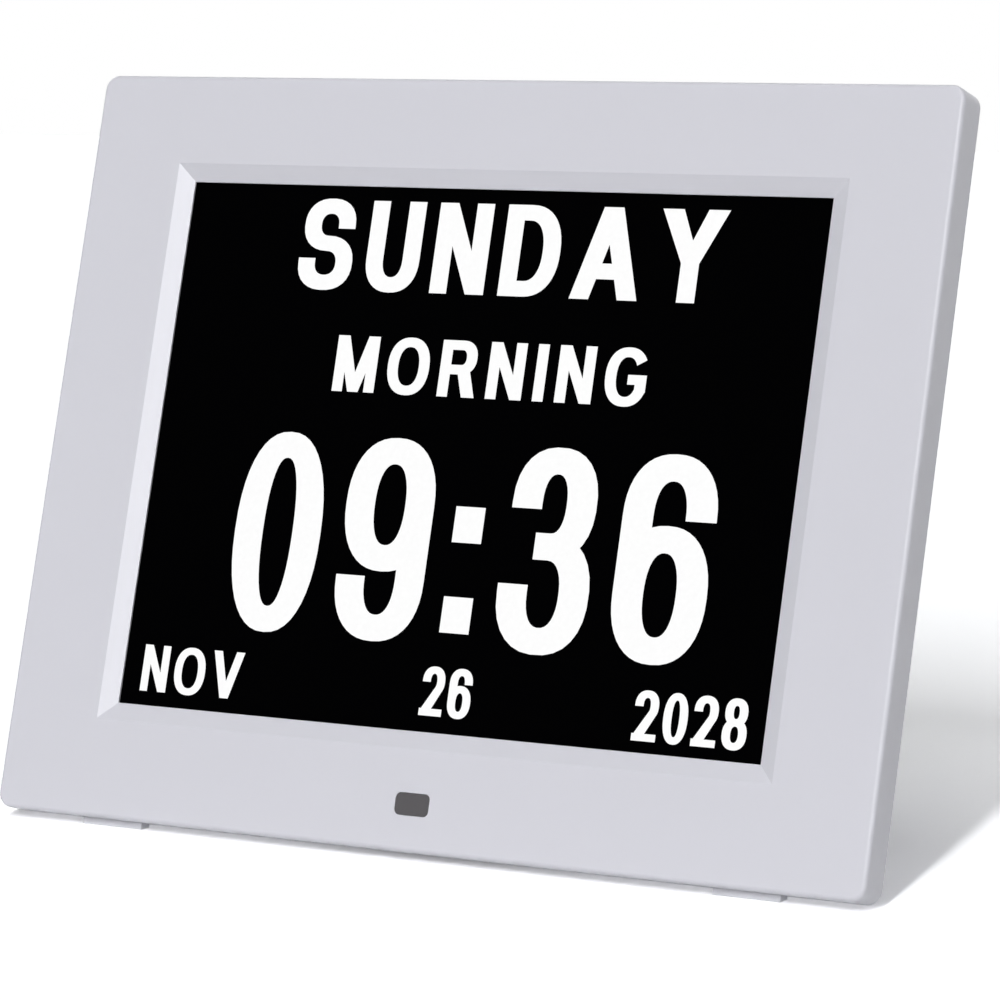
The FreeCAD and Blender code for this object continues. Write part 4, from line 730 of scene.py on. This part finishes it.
def band(middle, radii, start, end, stem, rise):
    """A bent stroke along an oval, from one angle to another, as a row of quads."""
    quads = []
    inner = (radii[0] - stem, radii[1] - rise)
    step = (end - start) / ARC_STEPS
    for index in range(ARC_STEPS):
        first = start + step * index
        last = first + step
        quads.append([oval_spot(middle, radii, first), oval_spot(middle, radii, last),
                      oval_spot(middle, inner, last), oval_spot(middle, inner, first)])
    return quads


def ring(middle, radii, stem, rise):
    return band(middle, radii, 0, 180, stem, rise) + band(middle, radii, 180, 360, stem, rise)


def mirrored(shapes, wide):
    """The same strokes, seen in a mirror."""
    return [[(wide - x, y) for x, y in shape] for shape in shapes]


def half_turned(shapes, wide):
    """The same strokes, turned half round."""
    return [[(wide - x, 1 - y) for x, y in shape] for shape in shapes]


# %% [markdown]
# Straight letters need only bars and slants. Each function gets the letter's width, its stem and
# the thickness of its level strokes, which sign painters keep a little thinner than the stem.

# %% Straight letters
def letter_i(wide, stem, rise):
    return bar(0, 0, stem, 1)


def letter_n(wide, stem, rise):
    run = 1.05 * stem
    return bar(0, 0, stem, 1) + bar(wide - stem, 0, wide, 1) + slant(wide - run, wide, 0, 0, run, 1)


def letter_m(wide, stem, rise):
    run, foot, middle = 1.1 * stem, 0.5 * stem, wide / 2
    arm = slant(middle - foot, middle + foot, 0, 0, run, 1)
    return bar(0, 0, stem, 1) + bar(wide - stem, 0, wide, 1) + arm + mirrored(arm, wide)


def letter_a(wide, stem, rise):
    leg, middle, inset, level = 1.1 * stem, wide / 2, 0.24 * wide, 0.22
    side = slant(0, leg, 0, middle - leg / 2, middle + leg / 2, 1)
    return side + mirrored(side, wide) + bar(inset, level, wide - inset, level + rise)


def letter_v(wide, stem, rise):
    leg, middle = 1.1 * stem, wide / 2
    side = slant(middle - leg / 2, middle + leg / 2, 0, 0, leg, 1)
    return side + mirrored(side, wide)


def letter_y(wide, stem, rise):
    arm, middle, fork = 1.18 * stem, wide / 2, 0.42
    side = slant(middle - stem / 2, middle + stem / 2, fork, 0, arm, 1)
    return bar(middle - stem / 2, 0, middle + stem / 2, fork) + side + mirrored(side, wide)


# %% [markdown]
# Round letters add bent bands. A D is a stem with a half ring, a U ends in a half ring below, and
# an S is two bowls that share their middle stroke. Every loose end is cut level, as in a plain
# sign letter.

# %% Round letters
def letter_o(wide, stem, rise):
    return ring((wide / 2, 0.5), (wide / 2, 0.5 + OVERSHOOT), stem, rise)


def letter_d(wide, stem, rise):
    flat = 0.42 * wide
    bars = bar(0, 0, stem, 1) + bar(0, 0, flat, rise) + bar(0, 1 - rise, flat, 1)
    return bars + band((flat, 0.5), (wide - flat, 0.5), -90, 90, stem, rise)


def letter_r(wide, stem, rise):
    flat, low, edge = 0.55 * wide, 0.40, 0.96 * wide
    leg, knee, high = 1.2 * stem, 0.46 * wide, (1 + low) / 2
    bars = bar(0, 0, stem, 1) + bar(0, low, flat, low + rise) + bar(0, 1 - rise, flat, 1)
    bowl = band((flat, high), (edge - flat, 1 - high), -90, 90, stem, rise)
    return bars + bowl + slant(wide - leg, wide, 0, knee, knee + leg, low + rise / 2)


def letter_u(wide, stem, rise):
    bend = 0.36
    bowl = band((wide / 2, bend), (wide / 2, bend + OVERSHOOT), 180, 360, stem, rise)
    return bar(0, bend, stem, 1) + bar(wide - stem, bend, wide, 1) + bowl


def letter_g(wide, stem, rise):
    middle, radii = (wide / 2, 0.5), (wide / 2, 0.5 + OVERSHOOT)
    upper_end, lower_end = 33, 335
    shelf, shelf_start, foot, edge = 0.54, 0.53 * wide, 0.24, 0.965 * wide
    arc = (band(middle, radii, upper_end, 180, stem, rise)
           + band(middle, radii, 180, lower_end, stem, rise))
    return arc + bar(shelf_start, shelf - rise, edge, shelf) + bar(edge - stem, foot, edge, shelf)


def two_bowls(waist, rise):
    """Middle and half height of an upper and a lower bowl that share the stroke at the waist."""
    seam_low, seam_high = waist - rise / 2, waist + rise / 2
    top, foot = 1 + OVERSHOOT, -OVERSHOOT
    upper = ((top + seam_low) / 2, (top - seam_low) / 2)
    lower = ((seam_high + foot) / 2, (seam_high - foot) / 2)
    return upper, lower


def letter_s(wide, stem, rise):
    middle, waist, inset, upper_lip, lower_lip = wide / 2, 0.51, 0.03 * wide, 0.04, 0.05
    (high, high_radius), (low, low_radius) = two_bowls(waist, rise)
    return (band((middle, high), (middle - inset, high_radius), 0, 270, stem, rise)
            + bar(wide - inset - stem, high - upper_lip, wide - inset, high)
            + band((middle, low), (middle, low_radius), 90, -180, stem, rise)
            + bar(0, low, stem, low + lower_lip))


# %% [markdown]
# The digits are narrower and follow the same rules. A 6 is a ring with a hook, and a 9 is a 6
# turned half round. The colon is two squares.

# %% Digits
def digit_2(wide, stem, rise):
    middle, top, bend, turn = wide / 2, 0.71, 20, -38
    left, lip, heel = 0.01 * wide, 0.02, 1.3 * stem
    radii = (middle - left, 1 - top + OVERSHOOT)
    hook = (band((middle, top), radii, 180, bend, stem, rise)
            + band((middle, top), radii, bend, turn, stem, rise))
    outer = oval_spot((middle, top), radii, turn)
    inner = oval_spot((middle, top), (radii[0] - stem, radii[1] - rise), turn)
    tail = [[inner, outer, (heel, rise / 2), (0, rise / 2)]]
    return hook + bar(left, top - lip, left + stem, top) + tail + bar(0, 0, wide, rise)


def digit_3(wide, stem, rise):
    middle, waist, inset, upper_lip, lower_lip = wide / 2, 0.52, 0.04 * wide, 0.03, 0.04
    tongue = 0.34 * wide
    (high, high_radius), (low, low_radius) = two_bowls(waist, rise)
    return (band((middle, high), (middle - inset, high_radius), 180, -90, stem, rise)
            + bar(inset, high - upper_lip, inset + stem, high)
            + band((middle, low), (middle, low_radius), 90, -180, stem, rise)
            + bar(0, low, stem, low + lower_lip)
            + bar(tongue, waist - rise / 2, middle, waist + rise / 2))


def digit_6(wide, stem, rise):
    middle, bowl, hook, lip = wide / 2, 0.325, 0.70, 0.01
    return (ring((middle, bowl), (middle, bowl + OVERSHOOT), stem, rise)
            + band((middle, hook), (middle, 1 - hook + OVERSHOOT), 0, 180, stem, rise)
            + bar(0, bowl, stem, hook) + bar(wide - stem, hook - lip, wide, hook))


def digit_8(wide, stem, rise):
    middle, waist, upper = wide / 2, 0.53, 0.46 * wide
    (high, high_radius), (low, low_radius) = two_bowls(waist, rise)
    return (ring((middle, high), (upper, high_radius), stem, rise)
            + ring((middle, low), (middle, low_radius), stem, rise))


def digit_9(wide, stem, rise):
    return half_turned(digit_6(wide, stem, rise), wide)


def colon(wide, stem, rise):
    tall, low, high = 0.18, 0.06, 0.51
    return bar(0, low, wide, low + tall) + bar(0, high, wide, high + tall)


LETTERS = {
    "I": (letter_i, 0.0), "N": (letter_n, 0.76), "M": (letter_m, 0.92), "A": (letter_a, 0.92),
    "V": (letter_v, 0.90), "Y": (letter_y, 0.90), "O": (letter_o, 0.90), "D": (letter_d, 0.79),
    "R": (letter_r, 0.80), "U": (letter_u, 0.76), "G": (letter_g, 0.88), "S": (letter_s, 0.78),
    "0": (letter_o, 0.68), "2": (digit_2, 0.68), "3": (digit_3, 0.68), "6": (digit_6, 0.68),
    "8": (digit_8, 0.68), "9": (digit_9, 0.68), ":": (colon, 0.0),
}
print("characters:", "".join(LETTERS))

# %% [markdown]
# ## Setting a line of lettering
# A line is set to an exact width: the letters take their own widths times a squeeze, and what is
# left over is shared out as equal gaps. That is how the screen's own lines are spaced, wide for
# the day and tight for the time. The strokes of a letter overlap, so a triangulation keeps what
# lies inside any of them.

# %% Line setting
RISE_SHARE = 0.8
KEEP_INSIDE = 1
SAME_SPOT = 1e-5


def counter_clockwise(shape):
    """The corners of a flat shape, in the order that runs against the clock."""
    following = shape[1:] + shape[:1]
    turning = sum(one[0] * two[1] - two[0] * one[1] for one, two in zip(shape, following))
    return shape if turning > 0 else shape[::-1]


def clean_shape(shapes):
    """The union of overlapping flat shapes, as corner points and triangles."""
    spots, faces = [], []
    for shape in shapes:
        faces.append(list(range(len(spots), len(spots) + len(shape))))
        spots += [Vector(spot) for spot in counter_clockwise(shape)]
    corners, _, triangles, _, _, sources = geometry.delaunay_2d_cdt(
        spots, [], faces, KEEP_INSIDE, SAME_SPOT)
    return corners, [triangle for triangle, source in zip(triangles, sources) if source]


def set_line(words, left, base, width, height, stem, squeeze):
    """Letters from left to right between two edges, as points and triangles in face millimetres."""
    share = stem / height
    shapes = []
    for character in words:
        draw, natural = LETTERS[character]
        wide = natural * squeeze if natural else share
        shapes.append((draw(wide, share, RISE_SHARE * share), wide))
    gap = (width / height - sum(wide for _, wide in shapes)) / max(1, len(words) - 1)
    points, triangles, cursor = [], [], 0.0
    for shape, wide in shapes:
        corners, faces = clean_shape(shape)
        start = len(points)
        points += [(left + height * (cursor + spot.x), base + height * spot.y) for spot in corners]
        triangles += [[start + index for index in face] for face in faces]
        cursor += wide + gap
    return points, triangles


# %% The screen's lines
LETTER_LIFT = 0.04 * MM
panel_low, panel_high = on_face(upright_box("lcd_panel"))
window_middle = (panel_low.z + panel_high.z) / 2 / MM
# words; left edge, baseline, width, height and stem in millimetres from the middle; squeeze
SCREEN_LINES = [
    ("SUNDAY", -50.8, 37.0, 107.4, 20.7, 4.4, 0.88),
    ("MORNING", -37.2, 13.8, 79.2, 12.8, 2.7, 0.93),
    ("09:36", -57.3, -41.2, 120.2, 44.6, 7.4, 0.745),
    ("NOV", -76.6, -57.4, 26.8, 10.6, 2.0, 0.86),
    ("26", -3.3, -57.0, 12.6, 10.8, 2.0, 0.78),
    ("2028", 49.3, -58.1, 27.0, 10.8, 2.0, 0.79),
]


def make_screen_words():
    work = bmesh.new()
    for words, left, base, *sizes in SCREEN_LINES:
        points, triangles = set_line(words, left, base + window_middle, *sizes)
        corners = [work.verts.new((x * MM, panel_low.y - LETTER_LIFT, z * MM)) for x, z in points]
        for triangle in triangles:
            work.faces.new([corners[index] for index in triangle])
    bmesh.ops.dissolve_limit(work, angle_limit=FLAT_ANGLE, verts=work.verts, edges=work.edges)
    bmesh.ops.transform(work, matrix=FACE, verts=work.verts)
    mesh = bpy.data.meshes.new("screen_words")
    work.to_mesh(mesh)
    work.free()
    return mesh


# %% [markdown]
# A liquid crystal screen doesn't glow by itself: the light behind it comes through the cells that
# are open. The letters shine a little, with a faint cell pattern, and their own surface stays
# dark.

# %% Lit cells
LIT_STRENGTH = 0.92
CELL_SCALE = 900.0
CELL_TONES = (0.97, 1.03)


def make_lit_finish():
    """White liquid-crystal light: the backlight through open cells, with a faint cell pattern."""
    material, shader = new_material("lit cells", Roughness=0.4, Emission_Strength=LIT_STRENGTH,
                                    Base_Color=(0.02, 0.02, 0.02, 1.0))
    tree = material.node_tree
    spot = add_node(tree, "ShaderNodeTexCoord").outputs["Object"]
    cells = add_node(tree, "ShaderNodeTexNoise", {
        "Vector": spot, "Scale": CELL_SCALE, "Detail": 1.0}).outputs["Fac"]
    tone = between(tree, cells, CELL_TONES)
    set_inputs(shader, {"Emission Color": scaled(tree, (1.0, 1.0, 1.0), tone)})
    return material


FINISHES["lit_cells"] = make_lit_finish()
add_piece("screen_words", make_screen_words(), "case", "screen_glass", finish="lit_cells")

# %% [markdown]
# ## Symbols on the buttons
# The five buttons at the back are set by feel and by symbol. Their signs are the plain ones of
# any device: three bars for the menu, a triangle up and one down, a ring to confirm, a broken
# ring with a stroke for power. They are pad printed, so each is a flat shape a hair above its
# button, and it rides on that button's body, so that it travels in with it. From behind, left and
# right change places.

# %% Button symbols
SYMBOL_SIZE = 3.4
INK_LIFT = 0.03 * MM
FINISHES["symbol_ink"] = plastic("symbol ink", (0.09, 0.09, 0.11), gloss=0.5, grain=0.2, lift=0.1,
                                 drift=0.08)
SYMBOLS = {
    "menu": bar(0, 0.08, 1, 0.23) + bar(0, 0.425, 1, 0.575) + bar(0, 0.77, 1, 0.92),
    "up": [[(0.02, 0.12), (0.98, 0.12), (0.5, 0.92)]],
    "down": [[(0.02, 0.88), (0.5, 0.08), (0.98, 0.88)]],
    "ok": ring((0.5, 0.5), (0.44, 0.44), 0.14, 0.14),
    "power": band((0.5, 0.44), (0.44, 0.44), 125, 415, 0.13, 0.13) + bar(0.435, 0.5, 0.565, 1.0),
}


def make_symbol(key, shapes):
    """One printed sign on the back of a button, as a mesh."""
    low, high = on_face(upright_box(key + "_button"))
    middle_x, middle_z = (low.x + high.x) / 2, (low.z + high.z) / 2
    corners, triangles = clean_shape(shapes)
    spots = [Vector((middle_x - (spot.x - 0.5) * SYMBOL_SIZE * MM, high.y + INK_LIFT,
                     middle_z + (spot.y - 0.5) * SYMBOL_SIZE * MM)) for spot in corners]
    mesh = bpy.data.meshes.new(key + "_symbol")
    mesh.from_pydata([FACE @ spot for spot in spots], [], triangles)
    return mesh


for key, shapes in SYMBOLS.items():
    add_piece(key + "_symbol", make_symbol(key, shapes), key + "_key", "button_plastic",
              finish="symbol_ink")

# %% [markdown]
# ## Floor and light
# The clock stands on a pale sweep of paper. A tall narrow window in front lights it, in two
# panes. Being narrow, it gives the shadow a crisp side edge. The bright low pane lights the face
# and lets the shadow run out far behind the clock, and the dim high one, which reaches overhead,
# softens the shadow on its way. A weak sun as wide as a soft box gives the bevel its sheen. A low
# glow behind the clock lights its back but hardly the floor, and a very dim sky fills the rest.
# The paper is lifted to white where it is seen directly, but it still keeps the shadow.

# %% Floor
FLOOR_SIZE = 8.0
FLOOR_PALE = 0.86
FLOOR_SEEN = 1.71
FLOOR_GLOW = 0.13


def camera_like(tree):
    """One where a ray comes from the camera, a mirror or a clear piece, and zero elsewhere."""
    ray = add_node(tree, "ShaderNodeLightPath").outputs
    direct = worked_out(tree, "MAXIMUM", ray["Is Camera Ray"], ray["Is Glossy Ray"])
    return worked_out(tree, "MAXIMUM", direct, ray["Is Transmission Ray"])


def shown_apart(tree, lighting, seen, output):
    """One shader lights the clock, and another stands where the camera or a mirror looks."""
    mix = add_node(tree, "ShaderNodeMixShader", {
        0: camera_like(tree), 1: lighting.outputs[0], 2: seen.outputs[0]})
    set_inputs(output, {"Surface": mix.outputs[0]})


def make_paper():
    material = bpy.data.materials.new("pale floor")
    material.use_nodes = True
    tree = material.node_tree
    tree.nodes.clear()
    pale, seen = [add_node(tree, "ShaderNodeBsdfDiffuse", {"Color": (tone, tone, tone, 1.0)})
                  for tone in (FLOOR_PALE, FLOOR_SEEN)]
    glow = add_node(tree, "ShaderNodeEmission", {"Strength": FLOOR_GLOW})
    lifted = add_node(tree, "ShaderNodeAddShader", {0: seen.outputs[0], 1: glow.outputs[0]})
    shown_apart(tree, pale, lifted, add_node(tree, "ShaderNodeOutputMaterial"))
    return material


def make_floor():
    half, level = FLOOR_SIZE / 2, CAD_BOUNDS[0][2]
    corners = [(-half, -half, level), (half, -half, level),
               (half, half, level), (-half, half, level)]
    mesh = bpy.data.meshes.new("floor")
    mesh.from_pydata(corners, [], [(0, 1, 2, 3)])
    mesh.materials.append(make_paper())
    floor = new_object("floor", mesh)
    print("floor:", FLOOR_SIZE, "m wide")


make_floor()

# %% Window and sky
WINDOW_TURN = math.radians(12.5)
WINDOW_HALF_WIDTH = math.sin(math.radians(1.1))
WINDOW_SOFT = 0.004
PANE_SOFT = 0.001
# each pane: foot and head in degrees above the horizon, and its brightness
PANES = ((18.0, 42.0, 112.5), (50.0, 88.0, 22.0))
SKY_COLOUR = (0.97, 0.98, 1.0, 1.0)
SKY_FILL = 0.03
REAR_GLOW = 3.8
REAR_SIDES = (0.72, 0.98)
REAR_HEIGHTS = (0.45, 0.15)


def step_mask(tree, value, start, end):
    """Zero on one side and one on the other, with a short soft step between."""
    step = {"Value": value, "From Min": start, "From Max": end}
    return add_node(tree, "ShaderNodeMapRange", step, clamp=True).outputs["Result"]


def both(tree, first, second):
    return worked_out(tree, "MULTIPLY", first, second)


def share_along(tree, look, way):
    """How much a direction points along another."""
    dot = add_node(tree, "ShaderNodeVectorMath", {0: look, 1: way}, operation="DOT_PRODUCT")
    return dot.outputs["Value"]


def look_parts(tree):
    """A direction into the sky, and its parts along X, Y and Z."""
    look = add_node(tree, "ShaderNodeTexCoord").outputs["Generated"]
    return look, add_node(tree, "ShaderNodeSeparateXYZ", {0: look}).outputs


def window_light(tree):
    """Brightness of the tall window's panes, zero outside them."""
    look, part = look_parts(tree)
    turn_x, turn_y = math.cos(WINDOW_TURN), math.sin(WINDOW_TURN)
    across = worked_out(tree, "ABSOLUTE", share_along(tree, look, (turn_x, turn_y, 0.0)))
    ahead = share_along(tree, look, (turn_y, -turn_x, 0.0))
    side = step_mask(tree, across, WINDOW_HALF_WIDTH + WINDOW_SOFT, WINDOW_HALF_WIDTH - WINDOW_SOFT)
    front = step_mask(tree, ahead, 0.0, WINDOW_SOFT)
    light = 0.0
    for foot, head, glow in PANES:
        low, high = math.sin(math.radians(foot)), math.sin(math.radians(head))
        above = step_mask(tree, part["Z"], low - PANE_SOFT, low + PANE_SOFT)
        below = step_mask(tree, part["Z"], high + PANE_SOFT, high - PANE_SOFT)
        light = worked_out(tree, "MULTIPLY_ADD", both(tree, above, below), glow, light)
    return both(tree, both(tree, side, front), light)


def rear_mask(tree):
    """One low behind the clock, fading to its sides and upwards, so that the floor gets little."""
    _, part = look_parts(tree)
    sides = step_mask(tree, part["Y"], *REAR_SIDES)
    return both(tree, sides, step_mask(tree, part["Z"], *REAR_HEIGHTS))


def make_sky():
    """A dim sky with a tall bright window, and plain white paper for direct looks and mirrors."""
    world = bpy.data.worlds.new("sky")
    scene.world = world
    world.use_nodes = True
    tree = world.node_tree
    rear = worked_out(tree, "MULTIPLY_ADD", rear_mask(tree), REAR_GLOW, SKY_FILL)
    strength = worked_out(tree, "ADD", window_light(tree), rear)
    fill = set_inputs(tree.nodes["Background"], {"Color": SKY_COLOUR, "Strength": strength})
    paper = add_node(tree, "ShaderNodeBackground", {"Color": (1.0, 1.0, 1.0, 1.0), "Strength": 1.0})
    shown_apart(tree, fill, paper, tree.nodes["World Output"])
    print("sky nodes:", len(tree.nodes))


make_sky()

# %% Lamp
KEY_TURN = math.radians(20.5)
KEY_RISE = math.radians(22.5)
KEY_SPREAD = math.radians(18.0)
KEY_STRENGTH = 0.40


def make_key():
    lamp = bpy.data.lights.new("key", "SUN")
    lamp.angle = KEY_SPREAD
    lamp.energy = KEY_STRENGTH
    key = new_object("key", lamp)
    key.matrix_world = direction(KEY_TURN, KEY_RISE).to_track_quat("Z", "Y").to_matrix().to_4x4()
    print("lamp:", key.name)


make_key()
scene.view_settings.view_transform = "Standard"
